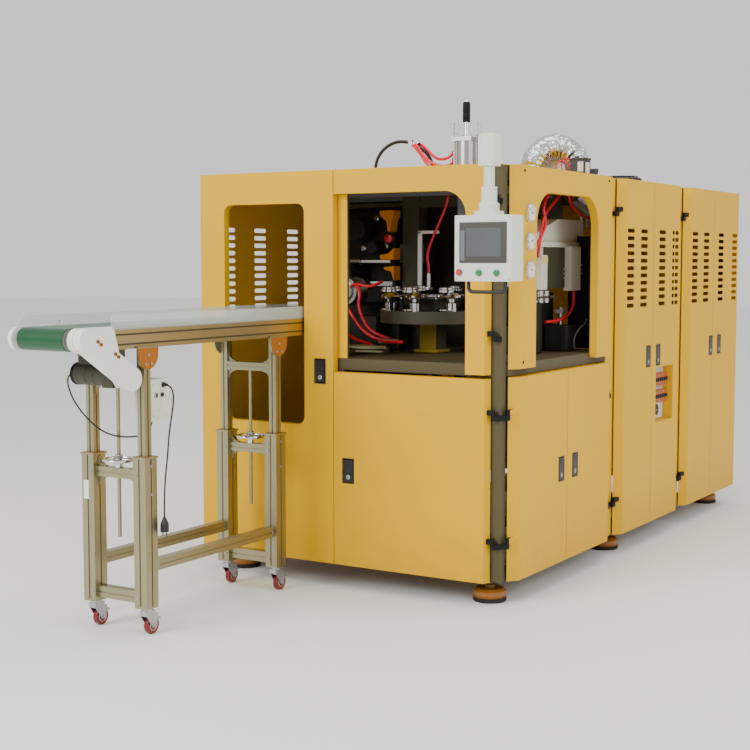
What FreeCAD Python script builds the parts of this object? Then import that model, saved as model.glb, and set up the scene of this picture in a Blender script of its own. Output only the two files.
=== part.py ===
"""Blow moulding machine: a three-bay sheet-metal cabinet with a bottle conveyor on castors.

Millimetres. +Z is up. The origin is on the floor under the front corner levelling foot.
The operator's front faces -Y and the long service side faces +X.
"""
import FreeCAD
import Part
import math
import os

V = FreeCAD.Vector

# ---- overall sizes of the cabinet ----
HEIGHT = 2000.0          # floor to the top of the doors
SKIRT = 110.0            # floor to the bottom of the doors
FRONT = -150.0           # operator face
SIDE = 150.0             # service face
FAR = -1563.0            # far side face
REAR = 3228.0            # back of the last door

# ---- sheet metal ----
SHEET = 2.5              # skin thickness
DOOR_DEPTH = 40.0        # depth of a folded door pan
DOOR_GAP = 4.0           # gap between two neighbouring doors
BEND = 40.0              # 45 degree bent edge beside a recess

# ---- welded frame ----
TUBE = 50.0              # square tube
FRAME_GAP = 4.0          # door back to frame
ROOF_SHEET = 3.0
REAR_TRIM = 18.0         # rear skin stops short of the last hinge blocks

# ---- openings and door breaks ----
LEFT_DOOR_EDGE = -766.0  # seam between the conveyor bay door and the front doors
CORNER_X = 40.0          # where the front doors start to bend back
BED_BOTTOM = 1050.0
BED_TOP = 1104.0
BED_PLATE = 12.0
LOWER_DOOR_TOP = 1041.0
UPPER_DOOR_BOTTOM = 1059.0
SIDE_LOWER_TOP = 1046.0
SIDE_PANEL_BOTTOM = 1082.0
WINDOW_TOP = HEIGHT - 114.0
FRONT_WINDOW_RIGHT = -57.0
FRONT_WINDOW_RADIUS = 113.0
SIDE_WINDOW = (157.0, 886.0)
SIDE_WINDOW_RADIUS = 150.0
OUTFEED_WINDOW = (-1415.0, -934.0, 777.0, 1846.0)
OUTFEED_RADIUS = 42.0

# ---- bays along the service side ----
RECESS_1 = (1102.0, 1226.0)
RECESS_2 = (2150.0, 2270.0)
BAY_1 = (0.0, 530.0, RECESS_1[0] - BEND)
BAY_2 = (RECESS_1[1] + BEND, 1680.0, RECESS_2[0] - BEND)
BAY_3 = (RECESS_2[1] + BEND, 2736.0, REAR)

# ---- vents ----
VENT_ROWS = 11
VENT_PITCH = 39.8
VENT_TOP = 1730.0
VENT = (104.0, 22.0)

# ---- hinges ----
PIN_R = 5.0
PIN_CLEAR = 0.05
KNUCKLE_R = 9.0
HINGE_TALL = 48.0
LUG_GAP = 0.5
AXIS_FRONT = (72.0, -124.0)
AXIS_SIDE = (124.0, -72.0)
AXIS_OUT = 122.0         # x of the recess hinge pins
AXIS_BACK = 11.0         # recess hinge pin to the door's bent edge
HINGE_LOW = 290.0
HINGE_MID = 877.0
HINGE_HIGH = HEIGHT - 172.0
HINGE_WINDOW = 1233.0

# ---- latches ----
LATCH = (57.0, 113.0)    # flush latch opening
LATCH_CLEAR = 3.0
LATCH_PROUD = 2.0
LATCH_THICK = 7.0

# ---- feet ----
FOOT_R = 78.0
FOOT_PAD = 80.0
FOOT_BODY = 62.0
FOOT_Y = (0.0, 1380.0, 3090.0)
FOOT_FAR_X = -1410.0
FOOT_STUD_R = 12.0

# ---- rotary table, press and oven ----
TABLE = (-585.0, 500.0)
TABLE_R = 268.0
TABLE_Z = (1259.0, 1321.0)
TABLE_SPIGOT_R = 30.0
HOLDER_RING_R = 220.0
HOLDERS = 8
HOLDER_R = 34.0
RING_TOP = 1412.0
PRESS = (-372.0, 450.0)
ROD_R = 12.5
ROD_CLEAR = 0.05
BARREL_R = 50.0
BARREL_TOP = HEIGHT + 178.0
STROKE = 70.0
GUIDE_OFFSET = 73.0
GUIDE_TOP = HEIGHT + 250.0
COLUMN = (-970.0, 850.0, 100.0)
OVEN = (-500.0, -100.0, 700.0, 1280.0)
OVEN_Z = (1440.0, 1640.0, 1785.0)

# ---- operator panel ----
MAST = (-57.0, 80.0)
HEAD = (168.0, -365.0)
MAST_R = 30.0
ARM_Z = (HEIGHT + 25.0, HEIGHT + 75.0)
ARM_HEAD_Z = (ARM_Z[0] - 53.0, ARM_Z[1] + 33.0)
HMI = (270.0, 110.0, 280.0)
HMI_BOTTOM = 1484.0
PIPE_R = 23.5
PIPE_FOOT = 1834.0        # lower end of the drop pipe, inside the panel's coupling
COUPLING_TOP = PIPE_FOOT + 50.0
BUTTONS = ((-112.0, 1522.0), (-18.0, 1520.0), (66.0, 1520.0))
BUTTON_R = 11.0
BUTTON_TRAVEL = 4.0

# ---- outfeed conveyor ----
CART_X = -1100.0
LEG_X = 143.0            # leg centre from the cart centre
LEG_Y = (-1295.0, -365.0)
LOWER_LEG = (66.0, 75.0)
LOWER_LEG_Z = (125.0, 750.0)
UPPER_LEG = 40.0
LEG_SLIDE = 2.0          # clearance all round between the telescoping legs
LEG_OVERLAP = 200.0
SLOT = (8.0, 4.5)        # width and depth of a profile's slot
RAIL_OUT = 158.0         # rail's outer face from the cart centre
RAIL = (30.0, 80.0)
RAIL_Z = 1213.0
RAIL_Y = (-1497.0, 245.0)
BELT_W = 244.0
BELT_THICK = 3.0
ROLLER_R = 42.0
ROLLER_CLEAR = 0.4
ROLLER_Y = (-1700.0, 195.0)
ROLLER_Z = 1262.0
SHAFT_R = 9.0
SHAFT_CLEAR = 0.05
PLATE = 8.0
SCREW_R = 8.0
SCREW_CLEAR = 0.05
SCREW_BOTTOM = 405.0
WHEEL_RIM_R = 66.0
MOTOR = (-1447.0, 1107.0, 45.0)
CASTOR_R = 37.5
CASTOR_W = 24.0
CASTOR_TRAIL = 28.0
AXLE_R = 5.0

ROOF = HEIGHT
FRAME_X = (FAR + DOOR_DEPTH + FRAME_GAP, SIDE - DOOR_DEPTH - FRAME_GAP - 6.0)
FRAME_Y = (FRONT + DOOR_DEPTH + FRAME_GAP + 6.0, REAR - DOOR_DEPTH - FRAME_GAP)
BACK_X = SIDE - DOOR_DEPTH


# ---- shape helpers ----
def box(x0, x1, y0, y1, z0, z1):
    return Part.makeBox(x1 - x0, y1 - y0, z1 - z0, V(x0, y0, z0))


def rod(start, end, radius):
    a, b = V(*start), V(*end)
    return Part.makeCylinder(radius, (b - a).Length, a, b - a)


def disc(x, y, z0, z1, radius):
    return Part.makeCylinder(radius, z1 - z0, V(x, y, z0))


def prism(outline, z0, z1):
    points = [V(x, y, z0) for x, y in outline]
    face = Part.Face(Part.makePolygon(points + points[:1]))
    return face.extrude(V(0, 0, z1 - z0))


def join(shapes):
    whole = shapes[0].fuse(shapes[1:]) if len(shapes) > 1 else shapes[0]
    return whole.removeSplitter()


def group(shapes):
    return Part.makeCompound(shapes)


def plate(outline, normal, depth):
    """A flat outline of (a, b) points, extruded: a, b run along Y, Z for normal x and X, Z for normal y."""
    if normal == "x":
        points = [V(depth[0], a, b) for a, b in outline]
        way = V(depth[1] - depth[0], 0, 0)
    else:
        points = [V(a, depth[0], b) for a, b in outline]
        way = V(0, depth[1] - depth[0], 0)
    return Part.Face(Part.makePolygon(points + points[:1])).extrude(way)


def obround(a, b, half, normal, depth):
    """A plate with round ends whose end centres are a and b, each (across, up)."""
    if normal == "x":
        centre = [V(depth[0], p[0], p[1]) for p in (a, b)]
        way = V(depth[1] - depth[0], 0, 0)
    else:
        centre = [V(p[0], depth[0], p[1]) for p in (a, b)]
        way = V(0, depth[1] - depth[0], 0)
    along = (centre[1] - centre[0]).normalize()
    out = along.cross(way).normalize() * half
    a1, a2 = centre[0] + out, centre[0] - out
    b1, b2 = centre[1] + out, centre[1] - out
    edges = [
        Part.LineSegment(a1, b1).toShape(),
        Part.Arc(b1, centre[1] + along * half, b2).toShape(),
        Part.LineSegment(b2, a2).toShape(),
        Part.Arc(a2, centre[0] - along * half, a1).toShape(),
    ]
    return Part.Face(Part.Wire(edges)).extrude(way)


def window(a0, a1, z0, z1, radii, normal, depth):
    """A through-cutting prism with rounded corners; radii run from low a, low z, anticlockwise."""
    corners = [(a0, z0), (a1, z0), (a1, z1), (a0, z1)]
    if normal == "x":
        point = lambda a, z: V(depth[0], a, z)
        way = V(depth[1] - depth[0], 0, 0)
    else:
        point = lambda a, z: V(a, depth[0], z)
        way = V(0, depth[1] - depth[0], 0)
    starts, ends, mids = [], [], []
    for i, (a, z) in enumerate(corners):
        r = radii[i]
        before = corners[i - 1]
        after = corners[(i + 1) % 4]
        da = (before[0] > a) - (before[0] < a), (before[1] > z) - (before[1] < z)
        db = (after[0] > a) - (after[0] < a), (after[1] > z) - (after[1] < z)
        starts.append(point(a + da[0] * r, z + da[1] * r))
        ends.append(point(a + db[0] * r, z + db[1] * r))
        k = r * (1 - math.sqrt(0.5))
        mids.append(point(a + (da[0] + db[0]) * k, z + (da[1] + db[1]) * k))
    edges = []
    for i in range(4):
        if radii[i] > 0:
            edges.append(Part.Arc(starts[i], mids[i], ends[i]).toShape())
        edges.append(Part.LineSegment(ends[i], starts[(i + 1) % 4]).toShape())
    return Part.Face(Part.Wire(edges)).extrude(way)


def inset(outline, amount, open_edge):
    """The outline moved in by amount on every edge but open_edge, which moves out instead."""
    lines = []
    count = len(outline)
    for i in range(count):
        p, q = V(*outline[i], 0), V(*outline[(i + 1) % count], 0)
        along = (q - p).normalize()
        inward = V(-along.y, along.x, 0)
        shift = -1.0 if i == open_edge else amount
        lines.append((p + inward * shift, along))
    points = []
    for i in range(count):
        p, u = lines[i - 1]
        q, w = lines[i]
        t = ((q.x - p.x) * w.y - (q.y - p.y) * w.x) / (u.x * w.y - u.y * w.x)
        points.append((p.x + u.x * t, p.y + u.y * t))
    return points


def pan(outline, z0, z1, open_edge, opening=None, collar=None):
    """A folded sheet pan. Its plan outline runs anticlockwise and open_edge is its back."""
    shell = prism(outline, z0, z1)
    hollow = prism(inset(outline, SHEET, open_edge), z0 + SHEET, z1 - SHEET)
    if opening is not None:
        shell = shell.cut(opening)
        hollow = hollow.cut(collar)
    return shell.cut(hollow)


def turned(radius_heights, x, y):
    """A turned solid about a vertical line at x, y, from (radius, z) pairs, closed on the axis."""
    outline = [(0.0, radius_heights[0][1])] + list(radius_heights) + [(0.0, radius_heights[-1][1])]
    points = [V(x + r, y, z) for r, z in outline]
    face = Part.Face(Part.makePolygon(points + points[:1]))
    return face.revolve(V(x, y, 0), V(0, 0, 1), 360)


# ---- doors and their hinges ----
def front_outline(x0, x1):
    """Plan of a front door that bends back beside the corner post."""
    back = FRONT + DOOR_DEPTH
    return [(x0, FRONT), (x1, FRONT), (x1 + 14.0, back), (x0, back)]


def side_outline(y0, y1, bend_low, bend_high):
    low = y0 - bend_low
    high = y1 + bend_high
    return [(BACK_X, low), (SIDE, y0), (SIDE, y1), (BACK_X, high)]


def lug(axis, root_a, root_b, height):
    """A hinge lug on a door, with a bore round the pin, from two points on the door's skin."""
    z0 = height + LUG_GAP
    z1 = height + HINGE_TALL / 2
    outward = V(root_a[0] + root_b[0] - 2 * axis[0], root_a[1] + root_b[1] - 2 * axis[1], 0).normalize()
    across = V(-outward.y, outward.x, 0) * KNUCKLE_R
    near = [(axis[0] + across.x, axis[1] + across.y), (axis[0] - across.x, axis[1] - across.y)]
    side_a = (root_a[0] - axis[0]) * across.x + (root_a[1] - axis[1]) * across.y
    side_b = (root_b[0] - axis[0]) * across.x + (root_b[1] - axis[1]) * across.y
    far = [root_b, root_a] if side_a > side_b else [root_a, root_b]
    arm = prism(near + far, z0, z1)
    return join([arm, disc(*axis, z0, z1, KNUCKLE_R)])


def hang(door, axis, root_a, root_b, heights):
    """The door with a bored lug at each hinge height."""
    lugs = [lug(axis, root_a, root_b, h) for h in heights]
    whole = join([door] + lugs)
    bores = [disc(*axis, h, h + HINGE_TALL, PIN_R + PIN_CLEAR) for h in heights]
    return whole.cut(group(bores))


def pin_block(axis, outline, height):
    """A fixed hinge block and the pin that stands in it."""
    z0 = height - HINGE_TALL / 2
    body = join([prism(outline, z0, height), disc(*axis, z0, height, KNUCKLE_R)])
    pin = disc(*axis, height, height + HINGE_TALL / 2 - 2.0, PIN_R)
    return join([body, pin])


def latch_hole(a, z, normal):
    half_w, half_h = LATCH[0] / 2, LATCH[1] / 2
    depth = (FRONT - 1, FRONT + SHEET + 1) if normal == "y" else (SIDE - SHEET - 1, SIDE + 1)
    return window(a - half_w, a + half_w, z - half_h, z + half_h, (3, 3, 3, 3), normal, depth)


def latch_paddle(a, z, normal):
    """A lift-to-open paddle in its latch opening, hinged on the round bar along its top edge."""
    half_w, half_h = LATCH[0] / 2 - LATCH_CLEAR, LATCH[1] / 2 - LATCH_CLEAR
    bar = LATCH_THICK / 2
    bar_z = z + half_h - bar
    if normal == "y":
        depth = FRONT - LATCH_PROUD, FRONT - LATCH_PROUD + LATCH_THICK
        hinge = rod((a - half_w, sum(depth) / 2, bar_z), (a + half_w, sum(depth) / 2, bar_z), bar)
    else:
        depth = SIDE + LATCH_PROUD - LATCH_THICK, SIDE + LATCH_PROUD
        hinge = rod((sum(depth) / 2, a - half_w, bar_z), (sum(depth) / 2, a + half_w, bar_z), bar)
    flat = window(a - half_w, a + half_w, z - half_h, bar_z, (3, 3, 0, 0), normal, depth)
    return join([flat, hinge])


def vents(columns, normal, depth):
    cuts = []
    half = VENT[1] / 2
    for centre in columns:
        for row in range(VENT_ROWS):
            z = VENT_TOP - VENT_PITCH * row
            ends = (centre - VENT[0] / 2 + half, z), (centre + VENT[0] / 2 - half, z)
            cuts.append(obround(*ends, half, normal, depth))
    return group(cuts)


LEFT_LATCH = (-843.0, 1042.0)
FRONT_LATCH = (-683.0, 570.0)
SIDE_LATCHES = {
    "bay_1_door_left": (461.0, 568.0), "bay_1_door_right": (624.0, 568.0),
    "bay_2_door_left": (1622.0, 1045.0), "bay_2_door_right": (1777.0, 1045.0),
    "bay_3_door_left": (2705.0, 1050.0), "bay_3_door_right": (2868.0, 1050.0),
}
POCKET = (1748.0, 2028.0, 664.0, 975.0, 68.0)


def left_door():
    """Full-height door of the conveyor bay with the outfeed window."""
    x0, x1 = FAR, LEFT_DOOR_EDGE - DOOR_GAP / 2
    outline = [(x0, FRONT), (x1, FRONT), (x1, FRONT + DOOR_DEPTH), (x0, FRONT + DOOR_DEPTH)]
    a0, a1, z0, z1 = OUTFEED_WINDOW
    deep = (FRONT - 1, FRONT + DOOR_DEPTH + 1)
    r = OUTFEED_RADIUS
    opening = window(a0, a1, z0, z1, (r, r, r, r), "y", deep)
    g = SHEET
    collar = window(a0 - g, a1 + g, z0 - g, z1 + g, (r + g,) * 4, "y", (deep[0] - 5, deep[1] + 5))
    door = pan(outline, SKIRT, HEIGHT, 2, opening, collar)
    return door.cut(latch_hole(*LEFT_LATCH, "y"))


def upper_front_door():
    """Door over the front work opening: a top bar and a leg down its hinged side."""
    outline = front_outline(LEFT_DOOR_EDGE + DOOR_GAP / 2, CORNER_X)
    deep = (FRONT - 1, FRONT + DOOR_DEPTH + 1)
    low, left, g, r = UPPER_DOOR_BOTTOM - 60, LEFT_DOOR_EDGE - 60, SHEET, FRONT_WINDOW_RADIUS
    opening = window(left, FRONT_WINDOW_RIGHT, low, WINDOW_TOP, (0, 0, r, 0), "y", deep)
    wide = (deep[0] - 5, deep[1] + 5)
    collar = window(left, FRONT_WINDOW_RIGHT + g, low, WINDOW_TOP + g, (0, 0, r + g, 0), "y", wide)
    door = pan(outline, UPPER_DOOR_BOTTOM, HEIGHT, 2, opening, collar)
    return hang(door, AXIS_FRONT, (44.8, -134.0), (49.7, -120.0), (HINGE_WINDOW, HINGE_HIGH + 20))


def lower_front_door():
    outline = front_outline(LEFT_DOOR_EDGE + DOOR_GAP / 2, CORNER_X)
    door = pan(outline, SKIRT, LOWER_DOOR_TOP, 2).cut(latch_hole(*FRONT_LATCH, "y"))
    return hang(door, AXIS_FRONT, (44.8, -134.0), (49.7, -120.0), (HINGE_LOW, HINGE_MID))


def recess_axis(recess_edge, door_side):
    """Hinge pin place in a recess; door_side is +1 when the door lies on the +Y side of the pin."""
    return (AXIS_OUT, recess_edge - door_side * AXIS_BACK)


def recess_roots(recess_edge, door_side):
    inner, outer = 12.0, 28.0
    first = (BACK_X + inner - 1, recess_edge + door_side * (inner + 1))
    second = (BACK_X + outer - 1, recess_edge + door_side * (outer + 1))
    return (first, second)


AXES = {
    "bay_1_door_left": AXIS_SIDE,
    "bay_1_door_right": recess_axis(RECESS_1[0], -1),
    "bay_2_door_left": recess_axis(RECESS_1[1], 1),
    "bay_2_door_right": recess_axis(RECESS_2[0], -1),
    "bay_3_door_left": recess_axis(RECESS_2[1], 1),
    "bay_3_door_right": (BACK_X + 3.0, REAR - 14.0),
}


def vent_columns(bay):
    """Two vent columns on each leaf of a full-height pair of doors."""
    left, seam, right = bay
    inset_outer, inset_seam = 74.0, 142.0
    return (left + inset_outer, seam - inset_seam), (seam + inset_seam, right - inset_outer)


def side_door(name, y0, y1, z1, bends, vent_at=()):
    """One leaf of a pair of doors on the service side; bends are its bent-back widths, low and high."""
    door = pan(side_outline(y0, y1, *bends), SKIRT, z1, 3)
    door = door.cut(latch_hole(*SIDE_LATCHES[name], "x"))
    if vent_at:
        door = door.cut(vents(vent_at, "x", (SIDE - SHEET - 1, SIDE + 1)))
    return door


def bay_1_doors():
    low, seam, high = BAY_1
    left = side_door("bay_1_door_left", low, seam - DOOR_GAP / 2, SIDE_LOWER_TOP, (50.0, 0.0))
    left = hang(left, AXIS_SIDE, (120.0, -37.0), (134.0, -21.0), (HINGE_LOW, HINGE_MID))
    right = side_door("bay_1_door_right", seam + DOOR_GAP / 2, high, SIDE_LOWER_TOP, (0.0, BEND))
    roots = recess_roots(RECESS_1[0], -1)
    right = hang(right, AXES["bay_1_door_right"], *roots, (HINGE_LOW, HINGE_MID))
    return {"bay_1_door_left": left, "bay_1_door_right": right}


def bay_2_doors():
    low, seam, high = BAY_2
    columns = vent_columns(BAY_2)
    left = side_door("bay_2_door_left", low, seam - DOOR_GAP / 2, HEIGHT, (BEND, 0.0), columns[0])
    left = hang(left, AXES["bay_2_door_left"], *recess_roots(RECESS_1[1], 1), (HINGE_LOW, HINGE_HIGH))
    right = side_door("bay_2_door_right", seam + DOOR_GAP / 2, high, HEIGHT, (0.0, BEND), columns[1])
    y0, y1, z0, z1, deep = POCKET
    pocket = box(SIDE - deep, SIDE - SHEET, y0 - SHEET, y1 + SHEET, z0 - SHEET, z1 + SHEET)
    right = join([right, pocket]).cut(box(SIDE - deep + SHEET, SIDE + 1, y0, y1, z0, z1))
    right = hang(right, AXES["bay_2_door_right"], *recess_roots(RECESS_2[0], -1), (HINGE_LOW, HINGE_HIGH))
    return {"bay_2_door_left": left, "bay_2_door_right": right}


def bay_3_doors():
    low, seam, high = BAY_3
    columns = vent_columns(BAY_3)
    left = side_door("bay_3_door_left", low, seam - DOOR_GAP / 2, HEIGHT, (BEND, 0.0), columns[0])
    left = hang(left, AXES["bay_3_door_left"], *recess_roots(RECESS_2[1], 1), (HINGE_LOW, HINGE_HIGH))
    right = side_door("bay_3_door_right", seam + DOOR_GAP / 2, high, HEIGHT, (0.0, 0.0), columns[1])
    axis = AXES["bay_3_door_right"]
    skin = REAR - SHEET / 2
    right = hang(right, axis, (axis[0] + 14.0, skin), (axis[0] - 2.0, skin), (HINGE_LOW, HINGE_HIGH))
    return {"bay_3_door_left": left, "bay_3_door_right": right}


def hinge_blocks():
    """All fixed hinge blocks, each with its pins."""
    blocks = []
    post = box(*POST, SKIRT, ROOF)
    ax, ay = AXIS_FRONT
    bx, by = AXIS_SIDE
    w = 5.7
    link = [(ax - w, ay + w), (ax + w, ay - w), (bx + w, by - w), (bx - w, by + w)]
    for h in (HINGE_LOW, HINGE_MID):
        both = join([pin_block(AXIS_FRONT, link, h), pin_block(AXIS_SIDE, link, h)])
        blocks.append(both.cut(post))
    half = [(ax - w, ay + w), (ax + w, ay - w), (POST[1] + w, POST[2] - w), (POST[1] - w, POST[2] + w)]
    for h in (HINGE_WINDOW, HINGE_HIGH + 20):
        blocks.append(pin_block(AXIS_FRONT, half, h).cut(post))
    strip = FRAME_X[1] + SHEET
    recess = {
        "bay_1_door_right": (-1, (HINGE_LOW, HINGE_MID)),
        "bay_2_door_left": (1, (HINGE_LOW, HINGE_HIGH)),
        "bay_2_door_right": (-1, (HINGE_LOW, HINGE_HIGH)),
        "bay_3_door_left": (1, (HINGE_LOW, HINGE_HIGH)),
    }
    for name, (way, heights) in recess.items():
        x, y = AXES[name]
        back, front = sorted((y - way * 30.0, y + way * 3.0))
        outline = [(strip, back), (x + 6.0, back), (x + 6.0, front), (strip, front)]
        blocks += [pin_block((x, y), outline, h) for h in heights]
    x, y = AXES["bay_3_door_right"]
    for h in (HINGE_LOW, HINGE_HIGH):
        outline = [(FRAME_X[1] - 15, FRAME_Y[1]), (FRAME_X[1] - 2, FRAME_Y[1])]
        outline += [(x + 4, y - 8), (x - 8, y - 4)]
        blocks.append(pin_block((x, y), outline, h))
    return group(blocks)


# ---- frame and fixed skins ----
POST = (50.0, 100.0, -100.0, -50.0)


def base_frame():
    """Welded square tube frame with the machine bed, each member cut where it meets the ones before it."""
    x0, x1 = FRAME_X
    y0, y1 = FRAME_Y
    bottom, top = SKIRT + 2.0, ROOF - ROOF_SHEET
    mullion = LEFT_DOOR_EDGE - TUBE / 2
    parts = [box(*POST, bottom, top)]
    ring_y = (RECESS_1[0] + 8.0, RECESS_2[0] + 5.0)
    posts = [(x0, y0), (mullion, y0), (x0, y1 - TUBE), (x1 - TUBE, y1 - TUBE)]
    posts += [(x, y) for x in (x0, x1 - TUBE) for y in ring_y]
    parts += [box(x, x + TUBE, y, y + TUBE, bottom, top) for x, y in posts]
    for z in (bottom, top - TUBE):
        parts.append(box(x0, x0 + TUBE, y0, y1, z, z + TUBE))
        parts.append(box(x1 - TUBE, x1, y0 + 2 * TUBE, y1, z, z + TUBE))
        parts.append(box(x0, POST[1], y0, y0 + TUBE, z, z + TUBE))
        parts.append(box(POST[0], POST[1], y0, y0 + 3 * TUBE, z, z + TUBE))
        parts += [box(x0, x1, y, y + TUBE, z, z + TUBE) for y in ring_y + (y1 - TUBE,)]
    mast_y = MAST[1] - TUBE / 2
    parts.append(box(mullion, POST[1], mast_y, mast_y + TUBE, top - TUBE, top))
    parts.append(disc(*MAST, top - TUBE / 2, ARM_Z[1] + 2.0, MAST_R))
    bed_back = ring_y[0] + TUBE
    rail_back = RECESS_1[0] - 2.0
    parts.append(box(mullion, x1, y0, bed_back, BED_TOP - BED_PLATE, BED_TOP))
    parts.append(box(mullion, mullion + TUBE, y0, bed_back, BED_BOTTOM, BED_TOP))
    parts.append(box(POST[0], BACK_X, POST[3], rail_back, BED_BOTTOM, BED_TOP))
    parts.append(box(mullion, POST[1], y0, y0 + TUBE, BED_BOTTOM, BED_TOP))
    parts.append(box(mullion, x1, ring_y[0], bed_back, BED_BOTTOM, BED_TOP))
    parts.append(box(mullion, mullion + TUBE, ring_y[0], bed_back, bottom, top))
    for x in (FOOT_FAR_X, 0.0):
        wide = max(TUBE, 2 * FOOT_STUD_R)
        for y in FOOT_Y:
            low, high = sorted((x + wide / 2 * (1 if x < -700 else -1), x0 if x < -700 else x1))
            span = min(low, x - wide / 2), max(high, x + wide / 2)
            parts.append(box(*span, y - FOOT_PAD / 2, y + FOOT_PAD / 2, bottom, bottom + TUBE))
    members = []
    for part in parts:
        near = [m for m in members if m.BoundBox.intersect(part.BoundBox)]
        rest = part.cut(group(near)) if near else part
        members += rest.Solids
    return group(members)


def levelling_feet():
    """Six anti-vibration feet: a dished body on a rubber base, with its threaded stud."""
    feet = []
    bottom = SKIRT + 2.0
    for x in (FOOT_FAR_X, 0.0):
        for y in FOOT_Y:
            half = FOOT_R - 6.0
            profile = [(FOOT_R - 3, 0.0), (FOOT_R, 4.0), (FOOT_R, 18.0), (half, 22.0), (FOOT_R - 2, 30.0)]
            profile += [(FOOT_R - 2, FOOT_BODY - 12.0), (FOOT_R - 14, FOOT_BODY), (FOOT_STUD_R + 12, FOOT_BODY)]
            profile += [(FOOT_STUD_R + 12, FOOT_BODY + 14), (FOOT_STUD_R, FOOT_BODY + 14), (FOOT_STUD_R, bottom)]
            feet.append(turned(profile, x, y))
    return group(feet)


def service_window_panel():
    """Fixed panel round the service-side window of the first bay, open at its foot."""
    low, high = 0.0, BAY_1[2]
    outline = side_outline(low, high, 50.0, BEND)
    deep = (BACK_X - 1, SIDE + 1)
    y0, y1, r, g = *SIDE_WINDOW, SIDE_WINDOW_RADIUS, SHEET
    foot = SIDE_PANEL_BOTTOM - 20
    opening = window(y0, y1, foot, WINDOW_TOP, (0, 0, r, r), "x", deep)
    wide = (deep[0] - 5, deep[1] + 5)
    collar = window(y0 - g, y1 + g, foot, WINDOW_TOP + g, (0, 0, r + g, r + g), "x", wide)
    return pan(outline, SIDE_PANEL_BOTTOM, HEIGHT, 3, opening, collar)


def roof_panels():
    """Three lift-off roof sheets with holes for the press rod, the mast and the duct."""
    x0, x1 = FRAME_X
    z = (ROOF - ROOF_SHEET, ROOF)
    seams = (FRAME_Y[0], (RECESS_1[0] + RECESS_1[1]) / 2, (RECESS_2[0] + RECESS_2[1]) / 2, FRAME_Y[1])
    sheets = [box(x0, x1, a + 1.0, b - 1.0, *z) for a, b in zip(seams, seams[1:])]
    holes = [disc(*MAST, z[0] - 1, z[1] + 1, MAST_R + 1), disc(*PRESS, z[0] - 1, z[1] + 1, BARREL_R)]
    holes.append(box(POST[1], x1 + 1, seams[0] - 1, POST[3], z[0] - 1, z[1] + 1))
    sheets[0] = sheets[0].cut(group(holes))
    return sheets


def fixed_panels():
    """Screwed-on skins: roof sheets, rear, far side, recess strips and the front jamb."""
    x0, x1 = FRAME_X
    y0, y1 = FRAME_Y
    skins = roof_panels()
    skins.append(box(x0, x1 - REAR_TRIM, y1, y1 + SHEET, SKIRT, HEIGHT))
    far = (FAR + 2.0, x0)
    bays = ((FRONT + DOOR_DEPTH + 6.0, RECESS_1[0]), (RECESS_1[1], RECESS_2[0]), (RECESS_2[1], y1))
    for a, b in bays:
        sheet = pan([(far[0], b), (far[0], a), (far[1], a), (far[1], b)], SKIRT, HEIGHT, 2)
        quarter = (b - a) / 4
        columns = (a + quarter * 0.6, a + quarter * 1.5, b - quarter * 1.5, b - quarter * 0.6)
        skins.append(sheet.cut(vents(columns, "x", (far[0] - 1, far[0] + SHEET + 1))))
    for a, b in (RECESS_1, RECESS_2):
        skins.append(box(x1, x1 + SHEET, a + 2, b - 2, SKIRT, HEIGHT))
        skins.append(box(x0 - SHEET, x0, a + 2, b - 2, SKIRT, HEIGHT))
    jamb = LEFT_DOOR_EDGE
    jamb_y = (y0 - SHEET, y0)
    skins.append(box(jamb - 25, jamb + 48, *jamb_y, BED_TOP + 2, ROOF - ROOF_SHEET))
    return group(skins)


def pressure_gauges():
    """Three panel gauges in a column beside the service window."""
    gauges = []
    for z in (1787.0, 1659.0, 1531.0):
        case = rod((SIDE, 72.0, z), (SIDE + 6.0, 72.0, z), 42.0)
        bezel = rod((SIDE + 6.0, 72.0, z), (SIDE + 14.0, 72.0, z), 39.0)
        gauges.append(join([case, bezel]))
    return group(gauges)


# ---- interior ----
def press_frame():
    """Press column, table pedestal and the head beam, one weldment bolted to the bed."""
    x, y, w = COLUMN
    top = ROOF - ROOF_SHEET - TUBE
    column = box(x, x + w, y, y + w, BED_TOP, top)
    foot = box(x - 30, x + w + 30, y - 30, y + w + 30, BED_TOP, BED_TOP + 20)
    pedestal = box(TABLE[0] - 50, TABLE[0] + 50, TABLE[1] - 50, TABLE[1] + 50, BED_TOP, TABLE_Z[0] - 6)
    spigot = disc(*TABLE, TABLE_Z[0] - 6, TABLE_Z[0] + 40, TABLE_SPIGOT_R)
    web = box(x + w, TABLE[0] + 50, y + 30, y + 60, BED_TOP, BED_TOP + 20)
    web_2 = box(TABLE[0] - 15, TABLE[0] + 15, TABLE[1], y + 60, BED_TOP, BED_TOP + 20)
    head = box(x + w, PRESS[0] + 90, y + 10, y + 60, top - 90, top - 30)
    nose = box(PRESS[0] - 90, PRESS[0] + 90, PRESS[1] + 60, y + 60, top - 90, top - 30)
    cap = box(x - 10, x + w + 40, y - 15, y + w + 15, 1560.0, 1660.0)
    return join([column, foot, pedestal, spigot, web, web_2, head, nose, cap])


def rotary_table():
    """Indexing table that carries the bottle holders; it turns on the pedestal's spigot."""
    z0, z1 = TABLE_Z
    plate_low = disc(*TABLE, z0, z1, TABLE_R)
    hub = disc(*TABLE, z1, z1 + 60, 90.0)
    upper = disc(*TABLE, z1 + 60, z1 + 72, HOLDER_RING_R - HOLDER_R - 16.0)
    body = join([plate_low, hub, upper])
    bore = disc(*TABLE, z0 - 1, TABLE_Z[0] + 42, TABLE_SPIGOT_R + SCREW_CLEAR)
    return body.cut(bore)


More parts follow.
